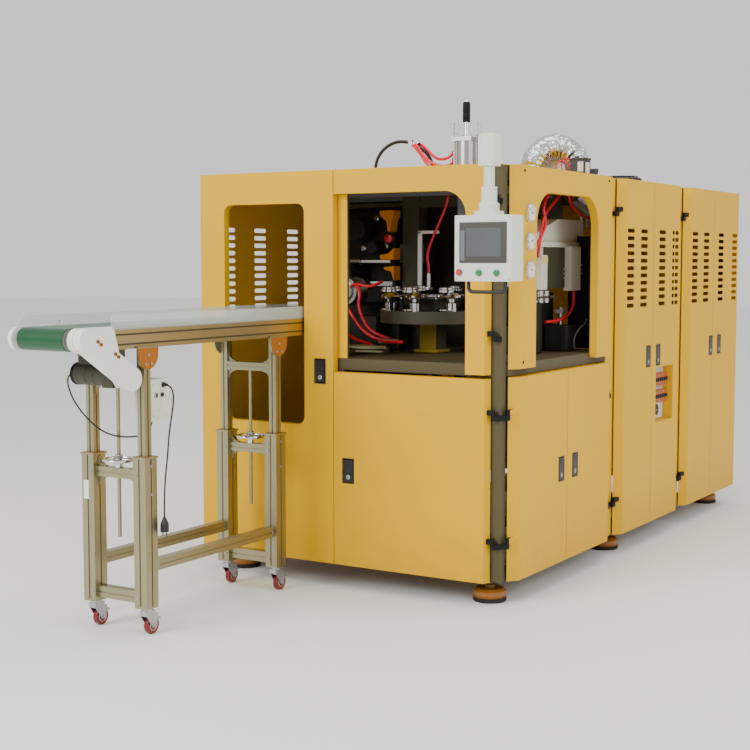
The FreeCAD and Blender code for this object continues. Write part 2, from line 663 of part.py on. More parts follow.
def bottle_holders():
    """Ring of turned steel holders standing on the table's edge."""
    holders = []
    z0 = TABLE_Z[1]
    for i in range(HOLDERS):
        turn = 2 * math.pi * (i + 0.15) / HOLDERS
        x = TABLE[0] + (HOLDER_RING_R + 12) * math.cos(turn)
        y = TABLE[1] + (HOLDER_RING_R + 12) * math.sin(turn)
        r = HOLDER_R
        profile = [(r - 6, z0), (r - 6, z0 + 40), (r - 16, z0 + 46), (r - 16, z0 + 58)]
        profile += [(r + 10, z0 + 62), (r + 14, z0 + 70), (r + 10, z0 + 78), (r - 4, RING_TOP)]
        holders.append(turned(profile, x, y))
    return group(holders)


def press_cylinder():
    """Double-ended air cylinder on the roof with its two guide rods."""
    x, y = PRESS
    seat = box(x - 100, x + 100, y - 70, y + 70, ROOF, ROOF + 12)
    barrel = disc(x, y, ROOF + 12, BARREL_TOP, BARREL_R)
    cap = box(x - 54, x + 54, y - 54, y + 54, BARREL_TOP - 20, BARREL_TOP)
    rods = [disc(x + way * GUIDE_OFFSET, y, ROOF + 12, GUIDE_TOP, 8.0) for way in (-1, 1)]
    ties = [disc(x + a * 44, y + b * 44, ROOF + 12, BARREL_TOP + 10, 5.0) for a in (-1, 1) for b in (-1, 1)]
    body = join([seat, barrel, cap] + rods + ties)
    return body.cut(disc(x, y, ROOF - 1, BARREL_TOP + 1, ROD_R + ROD_CLEAR))


def press_ram():
    """Through rod with its stroke-adjusting nut above and the blowing head below."""
    x, y = PRESS
    nut = BARREL_TOP + STROKE + 2.0
    stem = disc(x, y, 1620.0, nut + 110.0, ROD_R - 4.0)
    main = disc(x, y, 1620.0, nut + 2.0, ROD_R)
    sleeve = disc(x, y, nut, nut + 82.0, 15.0)
    head = turned([(38.0, 1535.0), (48.0, 1545.0), (48.0, 1590.0), (24.0, 1600.0), (24.0, 1640.0)], x, y)
    return join([stem, main, sleeve, head])


def oven_box():
    """Insulated heating oven over the holders, with its sloping hood."""
    x0, x1, y0, y1 = OVEN
    z0, z1, z2 = OVEN_Z
    wall = 40.0
    shell = box(x0, x1, y0, y1, z0, z1).cut(box(x0 - 1, x1 - wall, y0 + 60, y1 - 60, z0 - 1, z1 - wall))
    points = [V(x1, y0, z1), V(x1, y1, z1), V(x1, y1, z2), V(x1, y0 + 250, z2), V(x1, y0, z1 + 70)]
    hood = Part.Face(Part.makePolygon(points + points[:1])).extrude(V(x0 - x1, 0, 0))
    legs = [box(x0, x0 + 40, y, y + 40, BED_TOP, z1 - wall + 1) for y in (y0 + 100, y1 - 240)]
    return join([shell, hood] + legs)


def foil_duct():
    """Flexible foil duct that arches over the roof from the oven outlet to the fan inlet."""
    r, bend = 70.0, 120.0
    a = V(-250.0, 960.0, ROOF)
    b = V(-250.0 + 2 * bend * 0.8, 960.0 + 2 * bend * 0.6, ROOF)
    rise = V(0, 0, 40.0)
    middle = (a + b) * 0.5 + rise + V(0, 0, bend)
    path = Part.Wire([
        Part.LineSegment(a, a + rise).toShape(),
        Part.Arc(a + rise, middle, b + rise).toShape(),
        Part.LineSegment(b + rise, b).toShape(),
    ])
    ring = Part.Wire(Part.makeCircle(r, a, V(0, 0, 1)))
    return path.makePipeShell([ring], True, False)


# ---- operator panel ----
def hmi_arm():
    """Swivelling arm on the roof mast, with the head and the drop pipe that carries the panel."""
    m, h = V(*MAST, 0), V(*HEAD, 0)
    along = (h - m).normalize()
    across = V(-along.y, along.x, 0) * 27.0
    z0, z1 = ARM_Z
    beam = prism([(p.x, p.y) for p in (m + across, m - across, h - across, h + across)], z0, z1)
    hub = disc(*MAST, ROOF + 4.0, z1, 46.0)
    head = box(HEAD[0] - 36, HEAD[0] + 36, HEAD[1] - 36, HEAD[1] + 36, *ARM_HEAD_Z)
    head = head.makeFillet(16.0, [e for e in head.Edges if e.CenterOfMass.z > ARM_HEAD_Z[1] - 8.0])
    pipe = disc(*HEAD, PIPE_FOOT, ARM_HEAD_Z[0] + 3.0, PIPE_R)
    arm = join([beam, hub, head, pipe])
    return arm.cut(disc(*MAST, ROOF, ARM_Z[1] + 0.5, MAST_R + SCREW_CLEAR))


def hmi_box():
    """Operator panel enclosure with its flange and the coupling that turns on the drop pipe."""
    w, d, t = HMI
    x, y = HEAD
    z1 = HMI_BOTTOM + t
    case = box(x - w / 2, x + w / 2, y - d / 2, y + d / 2, HMI_BOTTOM, z1)
    case = case.makeFillet(5.0, [e for e in case.Edges if e.Length < d + 1])
    flange = box(x - 50, x + 50, y - 42, y + 42, z1, z1 + 18)
    waist = turned([(44.0, z1 + 18), (44.0, z1 + 48), (34.0, z1 + 58), (34.0, COUPLING_TOP)], x, y)
    body = join([case, flange, waist])
    front = y - d / 2
    cuts = [disc(x, y, PIPE_FOOT - 2.0, COUPLING_TOP + 6.0, PIPE_R + SCREW_CLEAR)]
    for dx, z in BUTTONS:
        cuts.append(rod((x + dx, front - 1, z), (x + dx, front + 22, z), BUTTON_R - 2.0))
    return body.cut(group(cuts))


def button(index):
    """Push button head in front of the panel, on its stem."""
    dx, z = BUTTONS[index]
    x, front = HEAD[0] + dx, HEAD[1] - HMI[1] / 2
    face = front - BUTTON_TRAVEL - 10.0
    head = rod((x, face, z), (x, front - BUTTON_TRAVEL - 1.0, z), BUTTON_R)
    head = head.makeFillet(2.0, [e for e in head.Edges if abs(e.CenterOfMass.y - face) < 0.1])
    stem = rod((x, front - BUTTON_TRAVEL - 2.0, z), (x, front + 15.0, z), BUTTON_R - 3.0)
    return join([head, stem])


def hmi_handle():
    """Bent grab handle under the panel."""
    x, y = HEAD
    half, drop, r, bend = 88.0, 46.0, 8.0, 20.0
    top = HMI_BOTTOM
    y_h = y - 15.0
    k = bend * (1 - math.sqrt(0.5))
    path = Part.Wire([
        Part.LineSegment(V(x - half, y_h, top), V(x - half, y_h, top - drop + bend)).toShape(),
        Part.Arc(V(x - half, y_h, top - drop + bend), V(x - half + k, y_h, top - drop + k),
                 V(x - half + bend, y_h, top - drop)).toShape(),
        Part.LineSegment(V(x - half + bend, y_h, top - drop), V(x + half - bend, y_h, top - drop)).toShape(),
        Part.Arc(V(x + half - bend, y_h, top - drop), V(x + half - k, y_h, top - drop + k),
                 V(x + half, y_h, top - drop + bend)).toShape(),
        Part.LineSegment(V(x + half, y_h, top - drop + bend), V(x + half, y_h, top)).toShape(),
    ])
    ring = Part.Wire(Part.makeCircle(r, V(x - half, y_h, top), V(0, 0, -1)))
    return path.makePipeShell([ring], True, False)


# ---- conveyor ----
def profile_z(x, y, w, d, z0, z1):
    """Upright aluminium profile with one slot down each face."""
    bar = box(x - w / 2, x + w / 2, y - d / 2, y + d / 2, z0, z1)
    s, deep = SLOT[0] / 2, SLOT[1]
    slots = [
        box(x - w / 2 - 1, x - w / 2 + deep, y - s, y + s, z0 - 1, z1 + 1),
        box(x + w / 2 - deep, x + w / 2 + 1, y - s, y + s, z0 - 1, z1 + 1),
        box(x - s, x + s, y - d / 2 - 1, y - d / 2 + deep, z0 - 1, z1 + 1),
        box(x - s, x + s, y + d / 2 - deep, y + d / 2 + 1, z0 - 1, z1 + 1),
    ]
    return bar.cut(group(slots))


def bar_x(x0, x1, y, z, w, h):
    """Cross bar along X with a slot in its front and back."""
    bar = box(x0, x1, y - w / 2, y + w / 2, z - h / 2, z + h / 2)
    s, deep = SLOT[0] / 2, SLOT[1]
    faces = y - w / 2, y + w / 2
    slots = [box(x0 - 1, x1 + 1, face - deep, face + deep, z - s, z + s) for face in faces]
    return bar.cut(group(slots))


def gusset(x, z, way_x, way_z, y):
    """Corner plate with a hollow round inner edge, wider than the slots that it bridges."""
    size, lip, half = 42.0, 5.0, SLOT[0] / 2 + 4.0
    k = lip + (size - lip) * (1 - math.sqrt(0.5))
    flat = [(size, lip), (k, k), (lip, size), (0, size), (0, 0), (size, 0)]
    p = [V(x + way_x * a, y - half, z + way_z * b) for a, b in flat]
    edges = [Part.Arc(p[0], p[1], p[2]).toShape()]
    edges += [Part.LineSegment(p[i], p[(i + 1) % 6]).toShape() for i in range(2, 6)]
    return Part.Face(Part.Wire(edges)).extrude(V(0, 2 * half, 0))


def cart_stand():
    """Lower legs, ties and the cross bars that the lifting nuts sit on."""
    parts, bores = [], []
    w, d = LOWER_LEG
    z0, z1 = LOWER_LEG_Z
    for y in LEG_Y:
        inner = LEG_X - w / 2
        for way in (-1, 1):
            x = CART_X + way * LEG_X
            parts.append(profile_z(x, y, w, d, z0, z1))
            parts.append(box(x - w / 2 - 5, x + w / 2 + 5, y - d / 2 - 5, y + d / 2 + 5, z1, z1 + 8))
            parts.append(box(x - w / 2, x + w / 2, y - d / 2, y + d / 2, z0 - 8, z0 + 2))
            half = UPPER_LEG / 2 + LEG_SLIDE
            bores.append(box(x - half, x + half, y - half, y + half, z1 - LEG_OVERLAP - 100, z1 + 9))
            for gz, gway in ((701.0, 1), (659.0, -1)):
                parts.append(gusset(CART_X + way * inner, gz, -way, gway, y))
        for z, h in ((160.0, 50.0), (680.0, 42.0)):
            parts.append(bar_x(CART_X - inner - 1, CART_X + inner + 1, y, z, 40.0, h))
        bores.append(disc(CART_X, y, 650.0, 710.0, SCREW_R + 4.0))
    for way in (-1, 1):
        x = CART_X + way * LEG_X
        side = box(x - 20, x + 20, LEG_Y[0] + d / 2 - 1, LEG_Y[1] - d / 2 + 1, 268.0, 316.0)
        groove = box(x + 20 - SLOT[1], x + 21, LEG_Y[0], LEG_Y[1], 288.0, 296.0)
        groove_2 = box(x - 21, x - 20 + SLOT[1], LEG_Y[0], LEG_Y[1], 288.0, 296.0)
        parts.append(side.cut(group([groove, groove_2])))
    return join(parts).cut(group(bores))


def lift_frame():
    """Upper legs, their cross bars, the two lifting screws and the pivot plates under the rails."""
    parts = []
    inner = LEG_X - UPPER_LEG / 2
    z1 = RAIL_Z - 6.0
    for y in LEG_Y:
        for way in (-1, 1):
            x = CART_X + way * LEG_X
            parts.append(profile_z(x, y, UPPER_LEG, UPPER_LEG, LOWER_LEG_Z[1] - LEG_OVERLAP, z1))
            for gz, gway in ((1089.0, 1), (1051.0, -1)):
                parts.append(gusset(CART_X + way * inner, gz, -way, gway, y))
            face = CART_X + way * (LEG_X + UPPER_LEG / 2)
            deep = (face - way * 1.0, face + way * 6.0)
            arc_z = 1187.0
            half = 64.0
            outline = [V(deep[0], y - half, RAIL_Z + 8), V(deep[0], y - half, arc_z),
                       V(deep[0], y, arc_z - half), V(deep[0], y + half, arc_z), V(deep[0], y + half, RAIL_Z + 8)]
            edges = [Part.LineSegment(outline[0], outline[1]).toShape(),
                     Part.Arc(outline[1], outline[2], outline[3]).toShape(),
                     Part.LineSegment(outline[3], outline[4]).toShape(),
                     Part.LineSegment(outline[4], outline[0]).toShape()]
            swing = Part.Face(Part.Wire(edges)).extrude(V(deep[1] - deep[0], 0, 0))
            rail = box(*sorted((CART_X + way * (RAIL_OUT - RAIL[0]), CART_X + way * RAIL_OUT)),
                       *RAIL_Y, RAIL_Z, RAIL_Z + RAIL[1])
            parts.append(swing.cut(rail))
        parts.append(bar_x(CART_X - inner - 1, CART_X + inner + 1, y, 1070.0, 40.0, 38.0))
        parts.append(disc(CART_X, y, SCREW_BOTTOM, 1052.0, SCREW_R))
    return join(parts)


def handwheel(y):
    """Spoked handwheel whose hub is the lifting nut."""
    x, z = CART_X, 734.0
    hub = disc(x, y, 701.5, 748.0, 18.0)
    rim = Part.makeTorus(WHEEL_RIM_R, 7.0, V(x, y, z), V(0, 0, 1))
    spokes = []
    for i in range(3):
        turn = 2 * math.pi * i / 3 + 0.3
        end = (x + WHEEL_RIM_R * math.cos(turn), y + WHEEL_RIM_R * math.sin(turn), z)
        spokes.append(rod((x, y, z), end, 5.0))
    return join([hub, rim] + spokes).cut(disc(x, y, 700.0, 750.0, SCREW_R + SCREW_CLEAR))


def side_rails():
    """Two slotted conveyor rails, their cross ties and the slider bed under the belt."""
    parts = []
    y0, y1 = RAIL_Y
    z0, z1 = RAIL_Z, RAIL_Z + RAIL[1]
    for way in (-1, 1):
        outer = CART_X + way * RAIL_OUT
        inner = outer - way * RAIL[0]
        bar = box(*sorted((inner, outer)), y0, y1, z0, z1)
        deep, s = SLOT[1], SLOT[0] / 2
        slots = [box(outer - deep, outer + deep, y0 - 1, y1 + 1, z - s, z + s) for z in (z0 + 20, z0 + 60)]
        parts.append(bar.cut(group(slots)))
    inner = RAIL_OUT - RAIL[0]
    for y in (-1360.0, -700.0, 60.0):
        parts.append(box(CART_X - inner - 1, CART_X + inner + 1, y - 20, y + 20, 1236.0, 1276.0))
    bed_top = ROLLER_Z + ROLLER_R - 1.0
    parts.append(box(CART_X - inner - 1, CART_X + inner + 1, y0 + 40, y1 - 140, bed_top - 8, bed_top))
    for y in (-1360.0, -700.0, 60.0):
        parts.append(box(CART_X - 60, CART_X + 60, y - 20, y + 20, 1270.0, bed_top - 4))
    tail = (CART_X - 200, ROLLER_Y[1], ROLLER_Z), (CART_X + 200, ROLLER_Y[1], ROLLER_Z)
    return join(parts).cut(rod(*tail, SHAFT_R + SHAFT_CLEAR))


def loop(radius, x0, x1):
    a, b = (ROLLER_Y[0], ROLLER_Z), (ROLLER_Y[1], ROLLER_Z)
    return obround(a, b, radius, "x", (x0, x1))


def belt():
    """Endless belt round the two rollers."""
    half = BELT_W / 2
    inner = ROLLER_R + ROLLER_CLEAR
    outside = loop(inner + BELT_THICK, CART_X - half, CART_X + half)
    return outside.cut(loop(inner, CART_X - half - 1, CART_X + half + 1))


def roller(y):
    half = BELT_W / 2
    drum = rod((CART_X - half, y, ROLLER_Z), (CART_X + half, y, ROLLER_Z), ROLLER_R)
    reach = RAIL_OUT - 4.0
    shaft = rod((CART_X - reach, y, ROLLER_Z), (CART_X + reach, y, ROLLER_Z), SHAFT_R)
    return join([drum, shaft])


GUARD = ((-1692.0, 1262.0), (-1430.0, 1094.0), 47.0)
GUARD_THICK = 5.0


def drive_guard():
    """White nose plates and the sloping cover of the drive belt."""
    parts = []
    y_nose, y_end = ROLLER_Y[0], RAIL_Y[0]
    for way in (-1, 1):
        outer = CART_X + way * RAIL_OUT
        inner = outer - way * PLATE
        span = sorted((inner, outer))
        side = obround((y_nose, ROLLER_Z), (y_end - 60, ROLLER_Z), 47.0, "x", span)
        tail = box(*span, y_end - 80, y_end, ROLLER_Z - 47, ROLLER_Z + 47)
        both = join([side, tail]).cut(rod((span[0] - 1, y_nose, ROLLER_Z), (span[1] + 1, y_nose, ROLLER_Z),
                                          SHAFT_R + SHAFT_CLEAR))
        parts.append(both)
        cap = rod((outer - way * 2, y_nose, ROLLER_Z), (outer + way * 14, y_nose, ROLLER_Z), 45.0)
        parts.append(cap.cut(rod((outer - 20, y_nose, ROLLER_Z), (outer + 20, y_nose, ROLLER_Z), SHAFT_R + 2)))
    outer = CART_X + RAIL_OUT
    cover = obround(*GUARD, "x", (outer + 8.0, outer + 52.0))
    spacer = obround((-1680.0, 1262.0), (-1560.0, 1186.0), 20.0, "x", (outer - 2.0, outer + 10.0))
    sheet = plate([(-1620.0, 1240.0), (y_end, 1300.0), (y_end + 70, 1060.0), (-1480.0, 1060.0)], "x",
                  (outer + 0.5, outer + 8.5))
    shaft_hole = rod((outer - 20, y_nose, ROLLER_Z), (outer + 20, y_nose, ROLLER_Z), SHAFT_R + 2)
    return join(parts + [cover, spacer.cut(shaft_hole), sheet])


def gear_motor():
    """Geared motor under the nose, hung from the right rail by its flange."""
    y, z, r = MOTOR
    face = CART_X + RAIL_OUT
    body = rod((CART_X - 83.0, y, z), (face - 60.0, y, z), r)
    box_end = box(face - 62.0, face - 6.0, y - 48, y + 48, z - 48, z + 48)
    hanger = box(face - RAIL[0], face - 6.0, y - 30, y + 30, z, RAIL_Z)
    shaft = rod((face - 10.0, y, z), (face, y, z), 8.0)
    return join([body, box_end, hanger, shaft])


def guide_strips():
    """Clear guards that stand on the two rails."""
    strips = []
    top = 1352.0
    z0 = RAIL_Z + RAIL[1]
    x = CART_X + RAIL_OUT - 12.0
    strips.append(box(x, x + GUARD_THICK, RAIL_Y[0] + 5, RAIL_Y[1], z0, top))
    x = CART_X - RAIL_OUT + 7.0
    nose = ROLLER_Y[0] - 20.0
    outline = [(nose, z0 + 20), (RAIL_Y[0], z0 + 20), (RAIL_Y[0] + 2, z0)]
    outline += [(RAIL_Y[1], z0), (RAIL_Y[1], top), (nose + 40, top)]
    strips.append(plate(outline, "x", (x, x + GUARD_THICK)))
    return group(strips)


def control_box():
    """Conveyor switch box behind the front right leg."""
    x1 = CART_X + 155.0
    y0 = LEG_Y[0] + UPPER_LEG / 2
    body = box(x1 - 82.0, x1, y0, y0 + 122.0, 900.0, 1076.0)
    return body.makeFillet(4.0, [e for e in body.Edges if abs(e.Length - 176.0) < 0.5])


def castor_fork(x, y):
    """Swivel head and fork of a castor, trailing to the rear."""
    top = LOWER_LEG_Z[0] - 8.0
    stem = disc(x, y, top - 14.0, top - 0.6, 22.0)
    crown_z = 2 * CASTOR_R + 8.0
    yb = y + CASTOR_TRAIL
    crown = box(x - 19, x + 19, y - 24, yb + 6, crown_z, top - 12.0)
    cheeks = []
    for way in (-1, 1):
        a, b = sorted((x + way * 16, x + way * 19))
        outline = [(y - 24, crown_z + 4), (yb - 12, CASTOR_R - 8), (yb + 12, CASTOR_R - 8), (yb + 22, crown_z + 4)]
        cheeks.append(plate(outline, "x", (a, b)))
    axle = rod((x - 22, yb, CASTOR_R), (x + 22, yb, CASTOR_R), AXLE_R)
    return join([stem, crown, axle] + cheeks)


def castor_wheel(x, y):
    yb = y + CASTOR_TRAIL
    half = CASTOR_W / 2
    tread = rod((x - half, yb, CASTOR_R), (x + half, yb, CASTOR_R), CASTOR_R)
    tread = tread.makeFillet(4.0, [e for e in tread.Edges if e.Length > 100 and abs(e.CenterOfMass.x - x) > 1])
    hub = rod((x - half - 3, yb, CASTOR_R), (x + half + 3, yb, CASTOR_R), 12.0)
    bore = rod((x - 30, yb, CASTOR_R), (x + 30, yb, CASTOR_R), AXLE_R + SHAFT_CLEAR)
    return join([tread, hub]).cut(bore)


# ---- cords ----
MAINS_LEAD = (
    (-945.0, -1190.0, 1052.0), (-911.0, -1190.0, 1052.0), (-885.0, -1195.0, 1030.0), (-874.0, -1204.0, 989.0),
    (-878.0, -1214.0, 922.0), (-887.0, -1222.0, 845.0), (-886.0, -1232.0, 765.0), (-893.0, -1239.0, 680.0),
    (-897.0, -1245.0, 590.0), (-897.0, -1245.0, 500.0),
)
MAINS_D = 7.0
MOTOR_LEAD = (
    (-1183.0, -1447.0, 1107.0), (-1217.0, -1447.0, 1107.0), (-1243.0, -1443.0, 1086.0), (-1252.0, -1432.0, 1048.0),
    (-1244.0, -1412.0, 992.0), (-1222.0, -1388.0, 940.0), (-1190.0, -1366.0, 896.0), (-1154.0, -1346.0, 862.0),
    (-1110.0, -1326.0, 840.0), (-1062.0, -1296.0, 832.0), (-1024.0, -1256.0, 834.0), (-1001.0, -1228.0, 850.0),
    (-993.0, -1215.0, 874.0), (-993.0, -1215.0, 900.0),
)
MOTOR_LEAD_D = 7.0
ROOF_CABLE = (
    (-900.0, 450.0, 2000.0), (-900.0, 450.0, 2062.0), (-870.0, 452.0, 2124.0), (-806.0, 453.0, 2168.0),
    (-728.0, 448.0, 2176.0), (-650.0, 447.0, 2150.0), (-592.0, 449.0, 2108.0), (-560.0, 450.0, 2056.0),
    (-560.0, 450.0, 2000.0),
)
ROOF_CABLE_D = 18.0


def tube(name, route, diameter):
    """A cable along straight runs joined by the largest tangent arcs that its runs allow."""
    points = [V(*p) for p in route]
    edges, radii = [], []
    last = points[0]
    for before, here, after in zip(points, points[1:], points[2:]):
        u, w = (here - before).normalize(), (after - here).normalize()
        turn = u.getAngle(w)
        cut = 0.45 * min((here - before).Length, (after - here).Length)
        radii.append(cut / math.tan(turn / 2))
        start, end = here - u * cut, here + w * cut
        centre = here + (w - u).normalize() * (cut / math.sin(turn / 2))
        middle = centre + (here - centre).normalize() * radii[-1]
        edges.append(Part.LineSegment(last, start).toShape())
        edges.append(Part.Arc(start, middle, end).toShape())
        last = end
    edges.append(Part.LineSegment(last, points[-1]).toShape())
    length = sum(e.Length for e in edges)
    ring = Part.Wire(Part.makeCircle(diameter / 2, points[0], points[1] - points[0]))
    solid = Part.Wire(edges).makePipeShell([ring], True, False)
    want = math.pi * diameter ** 2 / 4 * length
    print(name, "length %.0f" % length, "volume ratio %.4f" % (solid.Volume / want),
          "radii", " ".join("%.0f" % r for r in radii))
    return solid


def mains_plug():
    """Round-bodied mains plug hanging on the lead, with two pins."""
    x, y, z = MAINS_LEAD[-1]
    body = turned([(17.0, z - 62.0), (18.0, z - 58.0), (18.0, z - 30.0), (11.0, z - 12.0), (6.0, z)], x, y)
    pins = [disc(x + way * 9.5, y, z - 80.0, z - 60.0, 2.4) for way in (-1, 1)]
    return join([body] + pins)


def build():
    nodes = {
        "base_frame": base_frame(), "fixed_panels": fixed_panels(), "hinge_blocks": hinge_blocks(),
        "service_window_panel": service_window_panel(), "levelling_feet": levelling_feet(),
        "pressure_gauges": pressure_gauges(), "press_frame": press_frame(), "rotary_table": rotary_table(),
        "bottle_holders": bottle_holders(), "press_cylinder": press_cylinder(), "press_ram": press_ram(),
        "oven_box": oven_box(), "foil_duct": foil_duct(), "left_door": left_door(),
        "upper_front_door": upper_front_door(), "lower_front_door": lower_front_door(),
    }
    nodes.update(bay_1_doors())
    nodes.update(bay_2_doors())
    nodes.update(bay_3_doors())
    nodes["left_door_latch"] = latch_paddle(*LEFT_LATCH, "y")
    nodes["front_door_latch"] = latch_paddle(*FRONT_LATCH, "y")
    for name, place in SIDE_LATCHES.items():
        nodes[name.replace("door", "latch")] = latch_paddle(*place, "x")
    nodes["hmi_arm"] = hmi_arm()
    nodes["hmi_box"] = hmi_box()
    nodes["hmi_handle"] = hmi_handle()
    for index, name in enumerate(("stop_button", "start_button", "reset_button")):
        nodes[name] = button(index)
    nodes["cart_stand"] = cart_stand()
    nodes["lift_frame"] = lift_frame()
    nodes["side_rails"] = side_rails()
    nodes["conveyor_belt"] = belt()
    nodes["drive_roller"] = roller(ROLLER_Y[0])
    nodes["tail_roller"] = roller(ROLLER_Y[1])
    nodes["drive_guard"] = drive_guard()
    nodes["gear_motor"] = gear_motor()
    nodes["guide_strips"] = guide_strips()
    nodes["control_box"] = control_box()
    nodes["handwheel_front"] = handwheel(LEG_Y[0])
    nodes["handwheel_rear"] = handwheel(LEG_Y[1])
    for i, y in enumerate(LEG_Y):
        for way, side in ((-1, "left"), (1, "right")):
            place = CART_X + way * LEG_X, y
            end = ("front", "rear")[i]
            nodes["castor_fork_%s_%s" % (end, side)] = castor_fork(*place)
            nodes["castor_wheel_%s_%s" % (end, side)] = castor_wheel(*place)
    nodes["mains_lead"] = tube("mains_lead", MAINS_LEAD, MAINS_D)
    nodes["mains_plug"] = mains_plug()
    nodes["motor_lead"] = tube("motor_lead", MOTOR_LEAD, MOTOR_LEAD_D)
    nodes["roof_cable"] = tube("roof_cable", ROOF_CABLE, ROOF_CABLE_D)
    return nodes


def main():
    os.makedirs("parts", exist_ok=True)
    nodes = build()
    for name, shape in nodes.items():
        shape.exportStep("parts/%s.step" % name)
        bounds = shape.BoundBox
        state = "ok" if shape.isValid() else "INVALID"
        print("%-24s %s solids %d volume %.0f z %.0f to %.0f" % (
            name, state, len(shape.Solids), shape.Volume, bounds.ZMin, bounds.ZMax))
    print(len(nodes), "nodes")


main()
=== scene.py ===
"""Looks of an enclosed bottle blow moulding machine with its outfeed conveyor, laid out as an add-on."""
import math

import bmesh
import bpy
from mathutils import Matrix, Vector, noise


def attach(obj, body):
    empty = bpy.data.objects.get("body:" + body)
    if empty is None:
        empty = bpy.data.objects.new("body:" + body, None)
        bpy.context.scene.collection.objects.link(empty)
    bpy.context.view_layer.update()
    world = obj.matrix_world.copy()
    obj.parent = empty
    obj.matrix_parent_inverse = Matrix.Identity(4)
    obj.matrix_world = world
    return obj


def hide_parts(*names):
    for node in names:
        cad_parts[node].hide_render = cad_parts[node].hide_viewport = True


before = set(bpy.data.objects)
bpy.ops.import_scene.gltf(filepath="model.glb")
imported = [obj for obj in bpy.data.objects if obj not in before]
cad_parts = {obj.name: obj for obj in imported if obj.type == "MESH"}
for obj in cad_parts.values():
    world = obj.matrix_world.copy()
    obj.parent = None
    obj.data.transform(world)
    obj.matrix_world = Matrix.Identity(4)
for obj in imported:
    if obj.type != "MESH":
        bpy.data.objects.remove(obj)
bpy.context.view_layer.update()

bl_info = {
    "name": "Blow Moulding Machine",
    "version": (1, 0, 0),
    "blender": (4, 5, 0),
    "location": "View3D > Sidebar > Blow Moulder",
    "description": "Builds the finishes and fittings of a bottle blow moulding machine",
    "category": "Object",
}


# ---- settings ----
class FinishSettings(bpy.types.PropertyGroup):
    """Colours that a user would change."""
    panel_yellow: bpy.props.StringProperty(
        name="Panel yellow", description="Powder coat of the doors", default="E6B000")
    frame_brown: bpy.props.StringProperty(
        name="Frame grey-brown", description="Paint of the welded frame and bed", default="585139")
    belt_green: bpy.props.StringProperty(
        name="Belt green", description="Conveyor belt cover", default="004F26")
    hose_red: bpy.props.StringProperty(
        name="Hose red", description="Air hose colour", default="D8142A")


class FittingSettings(bpy.types.PropertyGroup):
    """Sizes of the fittings added to the frame."""
    latch_rim: bpy.props.FloatProperty(
        name="Latch rim", description="Width of the black rim round a latch", default=0.004, unit="LENGTH")
    dial_ticks: bpy.props.IntProperty(
        name="Dial ticks", description="Graduations on a gauge", default=11, min=5, max=31)
    breakers: bpy.props.IntProperty(
        name="Breakers", description="Circuit breakers in a row", default=7, min=2, max=12)


class StudioSettings(bpy.types.PropertyGroup):
    """Floor, light and camera."""
    floor_colour: bpy.props.StringProperty(
        name="Floor", description="Pale studio floor", default="F4F4F2")
    key_power: bpy.props.FloatProperty(
        name="Key light", description="Power of the large front light", default=430.0, subtype="POWER")
    lens: bpy.props.FloatProperty(
        name="Lens", description="Focal length in millimetres", default=66.65)


# ---- small helpers ----
FINISH = {}    # materials by a short name, filled by make_finishes


def linear(code):
    """An sRGB hex value as linear RGBA."""
    parts = [int(code[i:i + 2], 16) / 255 for i in (0, 2, 4)]
    return [c / 12.92 if c <= 0.04045 else ((c + 0.055) / 1.055) ** 2.4 for c in parts] + [1.0]


def add(material, kind, inputs=None, **settings):
    """A node with its settings; an input is a value or another node's socket."""
    made = material.node_tree.nodes.new(kind)
    for key, value in settings.items():
        setattr(made, key, value)
    for key, value in (inputs or {}).items():
        if isinstance(value, bpy.types.NodeSocket):
            material.node_tree.links.new(value, made.inputs[key])
        else:
            made.inputs[key].default_value = value
    return made


def blank(name):
    """A material with only its Principled shader, that shader, and the piece's own coordinates."""
    material = bpy.data.materials.new(name)
    material.use_nodes = True
    shader = material.node_tree.nodes["Principled BSDF"]
    return material, shader, add(material, "ShaderNodeTexCoord").outputs["Object"]


def clouds(material, place, scale, detail, **more):
    """Noise over the piece."""
    inputs = {"Vector": place, "Scale": scale, "Detail": detail, **more}
    return add(material, "ShaderNodeTexNoise", inputs).outputs["Fac"]


def spread(material, value, low, high):
    """A 0 to 1 socket moved to a range."""
    return add(material, "ShaderNodeMapRange", {"Value": value, "To Min": low, "To Max": high}).outputs[0]


def blend(material, factor, first, second):
    """One colour into another."""
    inputs = {"Factor": factor, "A": first, "B": second}
    return add(material, "ShaderNodeMix", inputs, data_type="RGBA").outputs[2]


def math_node(material, operation, first, second):
    """One sum, product or comparison of two values."""
    return add(material, "ShaderNodeMath", {0: first, 1: second}, operation=operation).outputs[0]


def relief(material, height, strength, distance):
    """Bumps from a height socket; the distance is in metres."""
    inputs = {"Height": height, "Strength": strength, "Distance": distance}
    return add(material, "ShaderNodeBump", inputs).outputs[0]


def shade(code, share):
    """A darker colour: the share of a hex value's light."""
    return [c * share for c in linear(code)[:3]] + [1.0]


def wire(material, shader, **sockets):
    """Sockets into the shader; an underscore stands for a space in an input's name."""
    for key, socket in sockets.items():
        material.node_tree.links.new(socket, shader.inputs[key.replace("_", " ")])


def finish_piece(name, bm, finish, body, smooth=40.0, bevel=0.0):
    """The bmesh as an object that rides on a body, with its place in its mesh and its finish."""
    bmesh.ops.recalc_face_normals(bm, faces=bm.faces)
    mesh = bpy.data.meshes.new(name)
    bm.to_mesh(mesh)
    bm.free()
    for face in mesh.polygons:
        face.use_smooth = True
    mesh.set_sharp_from_angle(angle=math.radians(smooth))
    piece = bpy.data.objects.new(name, mesh)
    bpy.context.scene.collection.objects.link(piece)
    mesh.materials.append(FINISH[finish])
    if bevel:
        rounding = piece.modifiers.new("edge rounding", "BEVEL")
        rounding.width = bevel
        rounding.segments = 2
        rounding.limit_method = "ANGLE"
    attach(piece, body)
    return piece


